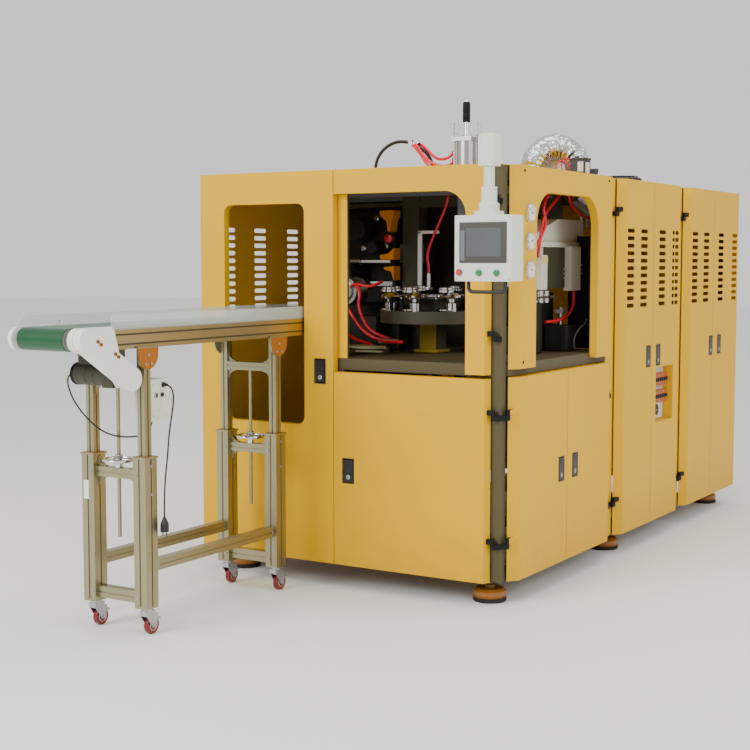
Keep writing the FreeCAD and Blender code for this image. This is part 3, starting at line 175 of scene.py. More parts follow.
def block(bm, low, high, turn=None):
    """A box between two corners."""
    low, high = Vector(low), Vector(high)
    size = high - low
    place = Matrix.Translation((low + high) / 2)
    if turn is not None:
        place = place @ turn
    place = place @ Matrix.Diagonal((*size, 1))
    return bmesh.ops.create_cube(bm, size=1.0, matrix=place)["verts"]


def tube(bm, start, end, radius, top=None, sides=24):
    """A capped cylinder or cone between two points."""
    start, end = Vector(start), Vector(end)
    along = end - start
    place = Matrix.Translation((start + end) / 2) @ along.to_track_quat("Z", "Y").to_matrix().to_4x4()
    made = bmesh.ops.create_cone(
        bm, cap_ends=True, segments=sides, radius1=radius, radius2=radius if top is None else top,
        depth=along.length, matrix=place)
    return made["verts"]


def ring(bm, centre, axis, major, minor, around=32, section=10):
    """A torus about an axis."""
    axis = Vector(axis).normalized()
    across = axis.orthogonal().normalized()
    start = Vector(centre) + across * major
    facing = axis.cross(across)
    turn = facing.to_track_quat("Z", "Y").to_matrix().to_4x4()
    place = Matrix.Translation(start) @ turn
    loop = bmesh.ops.create_circle(bm, segments=section, radius=minor, matrix=place)
    edges = list({e for v in loop["verts"] for e in v.link_edges})
    bmesh.ops.spin(
        bm, geom=loop["verts"] + edges, cent=centre, axis=axis, angle=2 * math.pi, steps=around,
        use_merge=True)


def turned(bm, centre, axis, profile, steps=32):
    """A turned shape from (radius, along) pairs about an axis."""
    axis = Vector(axis).normalized()
    across = axis.orthogonal().normalized()
    points = [Vector(centre) + across * r + axis * h for r, h in profile]
    verts = [bm.verts.new(p) for p in points]
    edges = [bm.edges.new(pair) for pair in zip(verts, verts[1:])]
    made = bmesh.ops.spin(
        bm, geom=verts + edges, cent=centre, axis=axis, angle=2 * math.pi, steps=steps, use_merge=True)
    bmesh.ops.remove_doubles(bm, verts=bm.verts, dist=1e-6)
    return made


def smooth_route(name, points, steps):
    """A curve with one open NURBS spline through the bends of a route."""
    curve = bpy.data.curves.new(name, "CURVE")
    curve.dimensions = "3D"
    curve.resolution_u = steps
    route = curve.splines.new("NURBS")
    route.points.add(len(points) - 1)
    for slot, place in zip(route.points, points):
        slot.co = (*place, 1.0)
    route.order_u = 3
    route.use_endpoint_u = True
    return curve


def cord_curve(name, points, radius, finish, body):
    """A round cord or hose along one smooth route."""
    curve = smooth_route(name, points, 10)
    curve.bevel_depth = radius
    curve.bevel_resolution = 4
    curve.use_fill_caps = True
    curve.materials.append(FINISH[finish])
    piece = bpy.data.objects.new(name, curve)
    bpy.context.scene.collection.objects.link(piece)
    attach(piece, body)
    return piece


def route_line(points):
    """The smooth line of a route, as points, and its length."""
    curve = smooth_route("route", points, 12)
    holder = bpy.data.objects.new("route", curve)
    mesh = bpy.data.meshes.new_from_object(holder)
    line = [v.co.copy() for v in mesh.vertices]
    bpy.data.objects.remove(holder)
    bpy.data.meshes.remove(mesh)
    bpy.data.curves.remove(curve)
    return line, sum((b - a).length for a, b in zip(line, line[1:]))


def paint(node, finish):
    """Give a CAD node its finish."""
    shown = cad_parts[node]
    for place in shown.material_slots:
        place.material = FINISH[finish]
    if not shown.material_slots:
        shown.data.materials.append(FINISH[finish])


# ---- materials ----
def powder_coat(name, code, gloss=0.42, peel=0.1):
    """Powder coat: even colour, orange peel about 3 mm across, satin shine, and painted shade with some dust,
    darker in patches near the floor.
    """
    material, shader, place = blank(name)
    cloud = clouds(material, place, 1.3, 4.0, Roughness=0.6)
    tone = blend(material, cloud, linear(code), shade(code, 0.9))
    height = add(material, "ShaderNodeSeparateXYZ", {"Vector": place}).outputs["Z"]
    # Painted shade with some dust: the colour darkens in patches towards the floor, below 0.42 m.
    low = add(material, "ShaderNodeMapRange", {
        "Value": height, "From Min": 0.1, "From Max": 0.42, "To Min": 0.5, "To Max": 0.0}).outputs[0]
    patch = clouds(material, place, 7.0, 6.0, Roughness=0.7)
    darker_patches = math_node(material, "MULTIPLY", low, patch)
    tone = blend(material, darker_patches, tone, shade(code, 0.45))
    bump = relief(material, clouds(material, place, 320.0, 2.0), peel, 0.0008)
    rough = spread(material, cloud, gloss - 0.05, gloss + 0.07)
    wire(material, shader, Base_Color=tone, Normal=bump, Roughness=rough)
    shader.inputs["Specular IOR Level"].default_value = 0.16
    return material


def moulded_plastic(name, code, rough=0.4, depth=0.06):
    """Moulded ABS: fine spark grain and a soft shine."""
    material, shader, place = blank(name)
    bump = relief(material, clouds(material, place, 900.0, 1.0), depth, 0.0004)
    tone = blend(material, clouds(material, place, 6.0, 3.0), linear(code), shade(code, 0.9))
    wire(material, shader, Base_Color=tone, Normal=bump)
    shader.inputs["Roughness"].default_value = rough
    return material


def metal(name, code, rough, stretch, lines, marks):
    """A bare metal with fine lines left by drawing, turning or grinding."""
    material, shader, place = blank(name)
    drawn = add(material, "ShaderNodeMapping", {"Vector": place, "Scale": stretch}).outputs[0]
    bump = relief(material, clouds(material, drawn, lines, 2.0), marks, 0.0004)
    smear = clouds(material, place, 9.0, 4.0)
    worn = spread(material, smear, max(rough - 0.08, 0.02), rough + 0.1)
    tone = blend(material, smear, linear(code), shade(code, 0.86))
    wire(material, shader, Base_Color=tone, Roughness=worn, Normal=bump)
    shader.inputs["Metallic"].default_value = 1.0
    return material


def crumpled_foil():
    """Aluminium foil: bright, with sharp creases a few centimetres apart."""
    material, shader, place = blank("crumpled aluminium foil")
    crease = add(material, "ShaderNodeTexVoronoi", {"Vector": place, "Scale": 34.0}, feature="F1")
    fine = clouds(material, place, 90.0, 4.0)
    folds = math_node(material, "ADD", crease.outputs["Distance"], fine)
    wire(material, shader, Normal=relief(material, folds, 0.5, 0.004))
    shader.inputs["Base Color"].default_value = linear("C9C9CB")
    shader.inputs["Metallic"].default_value = 1.0
    shader.inputs["Roughness"].default_value = 0.2
    return material


RUBBER_TOP = 0.0205    # a hair above the 20 mm rubber base of each foot


def foot_finish():
    """Brown-orange enamel over a black rubber base 20 mm thick."""
    material, shader, place = blank("enamelled foot on rubber")
    height = add(material, "ShaderNodeSeparateXYZ", {"Vector": place}).outputs["Z"]
    above = math_node(material, "GREATER_THAN", height, RUBBER_TOP)
    tone = blend(material, above, linear("17130F"), linear("8F5A1C"))
    rough = spread(material, above, 0.8, 0.38)
    bump = relief(material, clouds(material, place, 220.0, 3.0), 0.15, 0.001)
    wire(material, shader, Base_Color=tone, Roughness=rough, Normal=bump)
    return material


def woven_belt():
    """PVC conveyor belt: smooth green cover with a faint fabric print 2 mm apart."""
    material, shader, place = blank("green PVC belt")
    weave = add(material, "ShaderNodeTexChecker", {"Vector": place, "Scale": 500.0}).outputs["Fac"]
    bump = relief(material, weave, 0.05, 0.0005)
    code = bpy.context.scene.moulder_finish.belt_green
    tone = blend(material, clouds(material, place, 14.0, 5.0), linear(code), shade(code, 0.7))
    wire(material, shader, Base_Color=tone, Normal=bump)
    shader.inputs["Roughness"].default_value = 0.34
    return material


def clear_acrylic():
    """Cast acrylic sheet: nearly clear and faintly green."""
    material, shader, place = blank("clear acrylic")
    wire(material, shader, Roughness=spread(material, clouds(material, place, 7.0, 3.0), 0.04, 0.14))
    shader.inputs["Base Color"].default_value = linear("D9E4DD")
    shader.inputs["Transmission Weight"].default_value = 0.0
    shader.inputs["Alpha"].default_value = 0.38
    shader.inputs["IOR"].default_value = 1.49
    return material


def screen_glass():
    """Switched-off touch screen: grey film behind glossy glass."""
    material, shader, place = blank("touch screen glass")
    wire(material, shader, Base_Color=blend(
        material, clouds(material, place, 5.0, 2.0), linear("565A5C"), linear("4A4E50")))
    shader.inputs["Roughness"].default_value = 0.12
    shader.inputs["Coat Weight"].default_value = 0.6
    return material


def soft_pvc(name, code, rough=0.42):
    """Cable or hose jacket: smooth extruded plastic with faint scuffs."""
    material, shader, place = blank(name)
    scuff = clouds(material, place, 60.0, 4.0)
    worn = spread(material, scuff, rough - 0.08, rough + 0.15)
    wire(material, shader, Roughness=worn, Normal=relief(material, scuff, 0.05, 0.0006))
    shader.inputs["Base Color"].default_value = linear(code)
    return material


def make_finishes():
    """Every finish of the machine by a short name."""
    colours = bpy.context.scene.moulder_finish
    FINISH.update({
        "yellow": powder_coat("yellow powder-coated steel", colours.panel_yellow),
        "cast_yellow": powder_coat("yellow enamelled casting", "E58A14", 0.36, 0.3),
        "ochre": powder_coat("ochre enamelled casting", "86701C", 0.42, 0.3),
        "bronze_plate": powder_coat("bronze-brown pivot plate", "A86420", 0.34, 0.1),
        "frame": powder_coat("grey-brown enamelled frame", colours.frame_brown, 0.46, 0.15),
        "panel_grey": powder_coat("light grey powder coat", "E2E3D6", 0.4, 0.08),
        "cream": powder_coat("cream oven panel", "D9D6C6", 0.44, 0.08),
        "partition": powder_coat("dark painted clamp", "232420", 0.55, 0.15),
        "back_sheet": powder_coat("olive back sheet", "3E392B", 0.55, 0.12),
        "casting": powder_coat("dark olive casting", "474434", 0.42, 0.35),
        "press_grey": powder_coat("grey machine enamel", "6F7274", 0.45, 0.15),
        "hinge": powder_coat("black hinge casting", "16161A", 0.48, 0.3),
        "motor": powder_coat("dark motor enamel", "4A463A", 0.4, 0.25),
        "latch": moulded_plastic("black latch plastic", "17171A", 0.38),
        "grip": moulded_plastic("black grip plastic", "141416", 0.42),
        "guard": moulded_plastic("white ABS guard", "F0F1EC", 0.36),
        "white_plate": moulded_plastic("white laminate plate", "DAD8D0", 0.45),
        "breaker": moulded_plastic("orange-brown breaker moulding", "B4571F", 0.4),
        "socket": moulded_plastic("black socket moulding", "1A1A1C", 0.45),
        "red_button": moulded_plastic("red button cap", "D81C22", 0.22, 0.01),
        "green_button": moulded_plastic("green button cap", "0E8A4C", 0.22, 0.01),
        "bezel": moulded_plastic("olive screen bezel", "37352A", 0.38),
        "castor_red": moulded_plastic("red polyurethane tyre", "7A1C14", 0.3),
        "dial": moulded_plastic("white dial face", "F2F2EE", 0.4, 0.01),
        "ink": moulded_plastic("black dial ink", "18181A", 0.5, 0.01),
        "aluminium": metal("anodised aluminium", "A8A180", 0.4, (1.0, 1.0, 0.06), 500.0, 0.06),
        "rail": metal("anodised aluminium rail", "B8A679", 0.36, (1.0, 0.04, 1.0), 500.0, 0.06),
        "chrome": metal("chrome plate", "DDDEDF", 0.09, (1.0, 1.0, 1.0), 300.0, 0.02),
        "steel": metal("ground steel", "B7B7B3", 0.28, (1.0, 1.0, 0.2), 700.0, 0.08),
        "zinc": metal("zinc-plated steel", "B9BCBE", 0.34, (1.0, 1.0, 1.0), 200.0, 0.1),
        "bronze": metal("bronze screw", "B07A3A", 0.3, (1.0, 1.0, 1.0), 500.0, 0.05),
        "foil": crumpled_foil(),
        "foot": foot_finish(),
        "belt": woven_belt(),
        "acrylic": clear_acrylic(),
        "glass": screen_glass(),
        "cable": soft_pvc("black cable jacket", "131315"),
        "hose": soft_pvc("red polyurethane hose", colours.hose_red, 0.28),
        "grey_hose": soft_pvc("clear grey hose", "9AA0A0", 0.3),
        "heat_tape": soft_pvc("yellow glass tape", "D8C878", 0.6),
        # Painted shade: a dark red-brown sheet stands for the shade inside the outfeed bay.
        "interior_shade_sheet": powder_coat("red-brown sheet painted as interior shade", "35170C", 0.5, 0.1),
        "slot_strip": moulded_plastic("brown slot strip", "4A3C22", 0.5),
        "leg_cap": moulded_plastic("tan leg cap", "8E5A28", 0.4),
    })


NODE_FINISH = {
    "yellow": ("fixed_panels", "service_window_panel", "left_door", "upper_front_door", "lower_front_door",
               "bay_1_door_left", "bay_1_door_right", "bay_2_door_left", "bay_2_door_right",
               "bay_3_door_left", "bay_3_door_right"),
    "frame": ("base_frame",),
    "hinge": ("hinge_blocks",),
    "foot": ("levelling_feet",),
    "chrome": ("pressure_gauges", "bottle_holders", "press_ram", "handwheel_front", "handwheel_rear"),
    "casting": ("press_frame", "rotary_table"),
    "steel": ("press_cylinder", "drive_roller", "tail_roller"),
    "cream": ("oven_box",),
    "foil": ("foil_duct",),
    "panel_grey": ("hmi_arm", "hmi_box", "control_box"),
    "grip": ("hmi_handle",),
    "red_button": ("stop_button",),
    "green_button": ("start_button", "reset_button"),
    "aluminium": ("cart_stand", "lift_frame"),
    "rail": ("side_rails",),
    "belt": ("conveyor_belt",),
    "guard": ("drive_guard",),
    "motor": ("gear_motor",),
    "acrylic": ("guide_strips",),
    "cable": ("mains_plug", "mains_lead", "motor_lead", "roof_cable"),
    "latch": ("left_door_latch", "front_door_latch", "bay_1_latch_left", "bay_1_latch_right",
              "bay_2_latch_left", "bay_2_latch_right", "bay_3_latch_left", "bay_3_latch_right"),
    "zinc": ("castor_fork_front_left", "castor_fork_front_right", "castor_fork_rear_left",
             "castor_fork_rear_right"),
    "castor_red": ("castor_wheel_front_left", "castor_wheel_front_right", "castor_wheel_rear_left",
                   "castor_wheel_rear_right"),
}

# Cord routes, as in the part, in metres.
MAINS_LEAD = (
    (-0.945, -1.19, 1.052), (-0.911, -1.19, 1.052), (-0.885, -1.195, 1.03), (-0.874, -1.204, 0.989),
    (-0.878, -1.214, 0.922), (-0.887, -1.222, 0.845), (-0.886, -1.232, 0.765), (-0.893, -1.239, 0.68),
    (-0.897, -1.245, 0.59), (-0.897, -1.245, 0.5),
)
MOTOR_LEAD = (
    (-1.183, -1.447, 1.107), (-1.217, -1.447, 1.107), (-1.243, -1.443, 1.086), (-1.252, -1.432, 1.048),
    (-1.244, -1.412, 0.992), (-1.222, -1.388, 0.94), (-1.19, -1.366, 0.896), (-1.154, -1.346, 0.862),
    (-1.11, -1.326, 0.84), (-1.062, -1.296, 0.832), (-1.024, -1.256, 0.834), (-1.001, -1.228, 0.85),
    (-0.993, -1.215, 0.874), (-0.993, -1.215, 0.9),
)
ROOF_CABLE = (
    (-0.9, 0.45, 2.0), (-0.9, 0.45, 2.062), (-0.87, 0.452, 2.124), (-0.806, 0.453, 2.168),
    (-0.728, 0.448, 2.176), (-0.65, 0.447, 2.15), (-0.592, 0.449, 2.108), (-0.56, 0.45, 2.056),
    (-0.56, 0.45, 2.0),
)


# ---- operators: stage, finishes, cords ----
class MOULDER_OT_stage(bpy.types.Operator):
    """Pale floor, soft lights and the camera"""
    bl_idname = "moulder.stage"
    bl_label = "Studio"

    def execute(self, context):
        studio = context.scene.moulder_studio
        bm = bmesh.new()
        bmesh.ops.create_grid(bm, x_segments=1, y_segments=1, size=40.0)
        mesh = bpy.data.meshes.new("studio floor")
        bm.to_mesh(mesh)
        bm.free()
        floor = bpy.data.objects.new("studio_floor", mesh)
        context.scene.collection.objects.link(floor)
        material, shader, place = blank("pale studio floor")
        darker_patches = clouds(material, place, 0.8, 2.0)
        wire(material, shader, Base_Color=blend(
            material, darker_patches, linear(studio.floor_colour), shade(studio.floor_colour, 0.97)))
        shader.inputs["Roughness"].default_value = 0.7
        mesh.materials.append(material)

        world = bpy.data.worlds.new("soft white studio")
        world.use_nodes = True
        world.node_tree.nodes["Background"].inputs["Color"].default_value = linear("FFFFFF")
        world.node_tree.nodes["Background"].inputs["Strength"].default_value = 0.95
        context.scene.world = world

        lights = (
            ("front key", (-2.5, -7.0, 4.5), (-0.6, 0.0, 1.1), studio.key_power, 3.5),
            ("side fill", (6.5, -1.0, 4.0), (0.0, 1.2, 1.0), studio.key_power * 0.45, 3.5),
            ("top soft", (0.0, 1.0, 6.5), (-0.6, 1.2, 1.0), studio.key_power * 0.35, 4.0),
        )
        for name, start, target, power, size in lights:
            lamp = bpy.data.lights.new(name, "AREA")
            lamp.energy = power
            lamp.size = size
            holder = bpy.data.objects.new(name, lamp)
            holder.location = start
            aim = Vector(target) - Vector(start)
            holder.rotation_euler = aim.to_track_quat("-Z", "Y").to_euler()
            context.scene.collection.objects.link(holder)

        eye = bpy.data.cameras.new("view")
        eye.lens = studio.lens
        eye.sensor_width = 36.0
        eye.clip_end = 100.0
        camera = bpy.data.objects.new("view", eye)
        camera.location = (2.8628, -5.6882, 1.5729)
        camera.rotation_euler = (math.radians(90 - 4.72), 0.0, math.radians(31.516))
        context.scene.collection.objects.link(camera)
        context.scene.camera = camera
        return {"FINISHED"}


class MOULDER_OT_finishes(bpy.types.Operator):
    """Give every frame node its finish"""
    bl_idname = "moulder.finishes"
    bl_label = "Finishes"

    def execute(self, context):
        make_finishes()
        for finish, nodes in NODE_FINISH.items():
            for node in nodes:
                paint(node, finish)
        return {"FINISHED"}


ROOF_GLAND = [(0.019, 0.0), (0.019, 0.01), (0.016, 0.012), (0.0145, 0.026), (0.0105, 0.032)]
LEAD_GLAND = [(0.011, 0.0), (0.011, 0.008), (0.009, 0.01), (0.0045, 0.028)]


class MOULDER_OT_cords(bpy.types.Operator):
    """Mains lead, motor lead and roof cable, with their glands"""
    bl_idname = "moulder.cords"
    bl_label = "Cords"

    def execute(self, context):
        lead = cord_curve("mains_flex", MAINS_LEAD, 0.0035, "cable", "conveyor")
        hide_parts("mains_lead")
        route_line(MAINS_LEAD)[1]
        lead = cord_curve("motor_flex", MOTOR_LEAD, 0.0035, "cable", "conveyor")
        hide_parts("motor_lead")
        route_line(MOTOR_LEAD)[1]
        loop = cord_curve("roof_conduit", ROOF_CABLE, 0.0078, "cable", "cabinet")
        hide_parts("roof_cable")
        line, length = route_line(ROOF_CABLE)
        bm = bmesh.new()
        run, pitch = 0.0, 0.0062
        for a, b in zip(line, line[1:]):
            step = (b - a).length
            while run < step:
                spot = a.lerp(b, run / step)
                ring(bm, spot, b - a, 0.0074, 0.0017, 14, 5)
                run += pitch
            run -= step
        ribs = finish_piece("roof_conduit_ribs", bm, "cable", "cabinet")
        bm = bmesh.new()
        for end in (ROOF_CABLE[0], ROOF_CABLE[-1]):
            turned(bm, end, (0, 0, 1), ROOF_GLAND)
        finish_piece("roof_glands", bm, "cable", "cabinet")
        bm = bmesh.new()
        lead_ends = (
            (MAINS_LEAD[0], (1, 0, 0)), (MOTOR_LEAD[0], (-1, 0, 0)), (MOTOR_LEAD[-1], (0, 0, -1)))
        for end, way in lead_ends:
            turned(bm, end, way, LEAD_GLAND, 20)
        finish_piece("lead_glands", bm, "cable", "conveyor")
        return {"FINISHED"}


# ---- fittings ----
def bolt(bm, place, axis, radius=0.006, high=0.005):
    """A socket-head screw on a surface."""
    rim = radius * 0.85
    hollow = radius * 0.5
    profile = [(radius, 0.0), (radius, high * 0.8), (rim, high), (hollow, high), (hollow, high * 0.4),
               (0.0, high * 0.4)]
    turned(bm, place, axis, profile, 16)


def outline_plate(bm, points, normal, start, thick):
    """A flat plate from an outline of (a, z) pairs across y or x."""
    if normal == "y":
        verts = [bm.verts.new((a, start, z)) for a, z in points]
        push = Vector((0.0, thick, 0.0))
    else:
        verts = [bm.verts.new((start, a, z)) for a, z in points]
        push = Vector((thick, 0.0, 0.0))
    face = bm.faces.new(verts)
    made = bmesh.ops.extrude_face_region(bm, geom=[face])
    moved = [g for g in made["geom"] if isinstance(g, bmesh.types.BMVert)]
    bmesh.ops.translate(bm, verts=moved, vec=push)


LATCHES = {
    # node: (outward axis, centre along the door, centre height, body of the door)
    "left_door_latch": ("y", -0.843, 1.042, "cabinet"),
    "front_door_latch": ("y", -0.683, 0.57, "lower_door"),
    "bay_1_latch_left": ("x", 0.461, 0.568, "bay_1_left"),
    "bay_1_latch_right": ("x", 0.624, 0.568, "bay_1_right"),
    "bay_2_latch_left": ("x", 1.622, 1.045, "bay_2_left"),
    "bay_2_latch_right": ("x", 1.777, 1.045, "bay_2_right"),
    "bay_3_latch_left": ("x", 2.705, 1.05, "bay_3_left"),
    "bay_3_latch_right": ("x", 2.868, 1.05, "bay_3_right"),
}
LATCH_BODY = {
    "left_door_latch": "left_latch", "front_door_latch": "front_latch",
    "bay_1_latch_left": "bay_1_latch_left_paddle", "bay_1_latch_right": "bay_1_latch_right_paddle",
    "bay_2_latch_left": "bay_2_latch_left_paddle", "bay_2_latch_right": "bay_2_latch_right_paddle",
    "bay_3_latch_left": "bay_3_latch_left_paddle", "bay_3_latch_right": "bay_3_latch_right_paddle",
}


FRONT = -0.15          # outer faces of the cabinet's front and right side, and its roof
SIDE = 0.15
ROOF = 2.0


def facing(axis, a, z, out):
    """A point on the front (y) or side (x) face, pushed outward."""
    return (a, FRONT - out, z) if axis == "y" else (SIDE + out, a, z)


def face_block(bm, axis, across, heights, depths):
    """A box on the front or side face, between two depths outward of it."""
    ends = [facing(axis, a, z, out) for a, z, out in zip(across, heights, depths)]
    block(bm, [min(p) for p in zip(*ends)], [max(p) for p in zip(*ends)])


def half_size(axis, wide, deep, tall):
    """Half a box's size, with its width along the face."""
    return Vector((wide, deep, tall) if axis == "y" else (deep, wide, tall))


class MOULDER_OT_latches(bpy.types.Operator):
    """Latch rims and housings on the doors, key barrels on the paddles"""
    bl_idname = "moulder.latches"
    bl_label = "Latches"

    def execute(self, context):
        rim = context.scene.moulder_fitting.latch_rim
        for node, (axis, a, z, door) in LATCHES.items():
            way = (0, -1, 0) if axis == "y" else (1, 0, 0)
            half_w, half_h, wall = 0.0285, 0.0565, 0.002
            left, right, foot, top = a - half_w, a + half_w, z - half_h, z + half_h
            bm = bmesh.new()
            frame_sides = (
                ((left - rim, left), (foot - rim, top + rim)),
                ((right, right + rim), (foot - rim, top + rim)),
                ((left, right), (top, top + rim)),
                ((left, right), (foot - rim, foot)),
            )
            for across, heights in frame_sides:
                face_block(bm, axis, across, heights, (0.0, 0.0025))
            housing_walls = (
                ((left - wall, left), (foot, top)),
                ((right, right + wall), (foot, top)),
                ((left - wall, right + wall), (top, top + wall)),
                ((left - wall, right + wall), (foot - wall, foot)),
            )
            for across, heights in housing_walls:
                face_block(bm, axis, across, heights, (-0.0025, -0.03))
            face_block(bm, axis, (left, right), (foot, top), (-0.028, -0.03))
            finish_piece(node + "_rim", bm, "latch", door)
            bm = bmesh.new()
            spot = facing(axis, a, z - 0.03, 0.002)
            turned(bm, spot, way, [(0.0115, -0.0005), (0.0115, 0.0012), (0.0095, 0.0022), (0.0, 0.0022)], 24)
            finish_piece(node + "_key", bm, "zinc", LATCH_BODY[node])
            bm = bmesh.new()
            slit = Vector(facing(axis, a, z - 0.03, 0.0042))
            half = half_size(axis, 0.0012, 0.0004, 0.006)
            block(bm, slit - half, slit + half)
            finish_piece(node + "_keyhole", bm, "ink", LATCH_BODY[node])
            bm = bmesh.new()
            spot = Vector(facing(axis, a, z + 0.026, 0.0023))
            half = half_size(axis, 0.017, 0.0006, 0.0016)
            for step in range(3):
                rise = Vector((0.0, 0.0, 0.006 * step))
                block(bm, spot + rise - half, spot + rise + half)
            finish_piece(node + "_ribs", bm, "grip", LATCH_BODY[node])
        return {"FINISHED"}


class MOULDER_OT_gauges(bpy.types.Operator):
    """Dial faces, graduations, needles and glasses of the three pressure gauges"""
    bl_idname = "moulder.gauges"
    bl_label = "Gauges"

    def execute(self, context):
        ticks = context.scene.moulder_fitting.dial_ticks
        dials, ink, rims = bmesh.new(), bmesh.new(), bmesh.new()
        front = 0.1642
        for height, lean in ((1.787, 35.0), (1.659, -60.0), (1.531, 5.0)):
            spot = Vector((front, 0.072, height))
            turned(dials, spot, (1, 0, 0), [(0.0345, 0.0), (0.0345, 0.0008), (0.0, 0.0008)], 40)
            ring(rims, spot, (1, 0, 0), 0.0365, 0.0032, 40, 8)
            for step in range(ticks):
                angle = math.radians(225 - 270 * step / (ticks - 1))
                out = Vector((0.0, math.cos(angle), math.sin(angle)))
                middle = spot + Vector((0.0012, 0, 0)) + out * 0.028
                long = 0.0075 if step % 2 == 0 else 0.0045
                half = Vector((0.0003, long / 2, 0.0007))
                block(ink, middle - half, middle + half, Matrix.Rotation(angle, 4, "X"))
            angle = math.radians(90 + lean)
            out = Vector((0.0, math.cos(angle), math.sin(angle)))
            middle = spot + Vector((0.0024, 0, 0)) + out * 0.009
            half = Vector((0.0004, 0.016, 0.0009))
            block(ink, middle - half, middle + half, Matrix.Rotation(angle, 4, "X"))
            turned(ink, spot, (1, 0, 0), [(0.0042, 0.0008), (0.0042, 0.0032), (0.0, 0.0032)], 16)
        finish_piece("gauge_dials", dials, "dial", "cabinet")
        finish_piece("gauge_marks", ink, "ink", "cabinet")
        finish_piece("gauge_rims", rims, "chrome", "cabinet")
        return {"FINISHED"}


class MOULDER_OT_touch_panel(bpy.types.Operator):
    """Screen, bezel and screws of the operator panel, and the collars of its buttons"""
    bl_idname = "moulder.touch_panel"
    bl_label = "Touch panel"

    def execute(self, context):
        x, front = 0.168, -0.42
        bm = bmesh.new()
        block(bm, (x - 0.112, front - 0.0045, 1.562), (x + 0.112, front, 1.734))
        finish_piece("screen_bezel", bm, "bezel", "panel", bevel=0.002)
        bm = bmesh.new()
        block(bm, (x - 0.078, front - 0.0055, 1.589), (x + 0.086, front - 0.0035, 1.71))
        finish_piece("screen_glass", bm, "glass", "panel")
        bm = bmesh.new()
        block(bm, (x - 0.106, front - 0.005, 1.572), (x - 0.086, front - 0.004, 1.7))
        finish_piece("screen_side_strip", bm, "press_grey", "panel")
        bm = bmesh.new()
        for dx in (-0.125, 0.125):
            for z in (1.494, 1.754):
                bolt(bm, (x + dx, front, z), (0, -1, 0), 0.0035, 0.0022)
        for dx in (-0.028, 0.028):
            for z in (1.985, 2.09):
                bolt(bm, (x + dx, -0.401, z), (0, -1, 0), 0.0035, 0.0022)
        finish_piece("panel_screws", bm, "zinc", "panel")
        bm = bmesh.new()
        for dx, z in ((-0.112, 1.522), (-0.018, 1.52), (0.066, 1.52)):
            ring(bm, (x + dx, front - 0.0015, z), (0, 1, 0), 0.014, 0.0022, 32, 8)
        finish_piece("button_collars", bm, "steel", "panel")
        bm = bmesh.new()
        for step in range(6):
            block(bm, (x - 0.06, -0.3105, 1.6 + 0.016 * step), (x + 0.06, -0.309, 1.606 + 0.016 * step))
        finish_piece("panel_back_louvres", bm, "press_grey", "panel")
        return {"FINISHED"}


class MOULDER_OT_breaker_panel(bpy.types.Operator):
    """White plate with two rows of breakers and two sockets in the pocket of bay 2"""
    bl_idname = "moulder.breaker_panel"
    bl_label = "Breakers"

    def execute(self, context):
        count = context.scene.moulder_fitting.breakers
        back = 0.0878
        bm = bmesh.new()
        block(bm, (back - 0.003, 1.752, 0.668), (back + 0.004, 2.024, 0.971))
        finish_piece("breaker_plate", bm, "white_plate", "bay_2_right", bevel=0.001)
        body, toggles, rails, sockets, contacts = (bmesh.new() for _ in range(5))
        pitch = 0.232 / count
        for row in (0.896, 0.8):
            block(rails, (back + 0.004, 1.764, row - 0.02), (back + 0.01, 2.012, row + 0.02))
            for step in range(count):
                y = 1.772 + pitch * (step + 0.5)
                block(body, (back + 0.01, y - pitch * 0.44, row - 0.036),
                      (back + 0.034, y + pitch * 0.44, row + 0.036))
                block(toggles, (back + 0.034, y - pitch * 0.2, row - 0.009),
                      (back + 0.045, y + pitch * 0.2, row + 0.011))
        finish_piece("din_rails", rails, "zinc", "bay_2_right")
        finish_piece("breaker_bodies", body, "breaker", "bay_2_right", bevel=0.0015)
        finish_piece("breaker_toggles", toggles, "socket", "bay_2_right", bevel=0.001)
        block(sockets, (back + 0.004, 1.775, 0.685), (back + 0.016, 1.845, 0.753))
        turned(sockets, (back + 0.004, 1.905, 0.72), (1, 0, 0),
               [(0.031, 0.0), (0.031, 0.01), (0.024, 0.012), (0.0, 0.012)])
        finish_piece("sockets", sockets, "socket", "bay_2_right", bevel=0.001)
        for y, z in ((1.797, 0.719), (1.823, 0.719), (1.893, 0.72), (1.917, 0.72)):
            turned(contacts, (back + 0.0125, y, z), (1, 0, 0),
                   [(0.005, -0.001), (0.005, 0.004), (0.0, 0.004)], 16)
        finish_piece("socket_contacts", contacts, "steel", "bay_2_right")
        return {"FINISHED"}


HINGES = (
    # door node, its body, pin centre in plan, heights of its hinges
    ("upper_front_door", "upper_door", (0.072, -0.124), (1.233, 1.848)),
    ("lower_front_door", "lower_door", (0.072, -0.124), (0.29, 0.877)),
    ("bay_1_door_left", "bay_1_left", (0.124, -0.072), (0.29, 0.877)),
    ("bay_1_door_right", "bay_1_right", (0.122, 1.113), (0.29, 0.877)),
    ("bay_2_door_left", "bay_2_left", (0.122, 1.215), (0.29, 1.828)),
    ("bay_2_door_right", "bay_2_right", (0.122, 2.161), (0.29, 1.828)),
    ("bay_3_door_left", "bay_3_left", (0.122, 2.259), (0.29, 1.828)),
    ("bay_3_door_right", "bay_3_right", (0.113, 3.214), (0.29, 1.828)),
)


LUG_REACH = 0.042      # furthest that a lug stands from its pin
LUG_TALL = 0.0245
COVER_PROUD = 0.0003


def on_lug(face, pin, low):
    """Whether a door's face belongs to the hinge lug that starts at a height."""
    return all(math.hypot(v.co.x - pin[0], v.co.y - pin[1]) < LUG_REACH and low < v.co.z < low + LUG_TALL
               for v in face.verts)


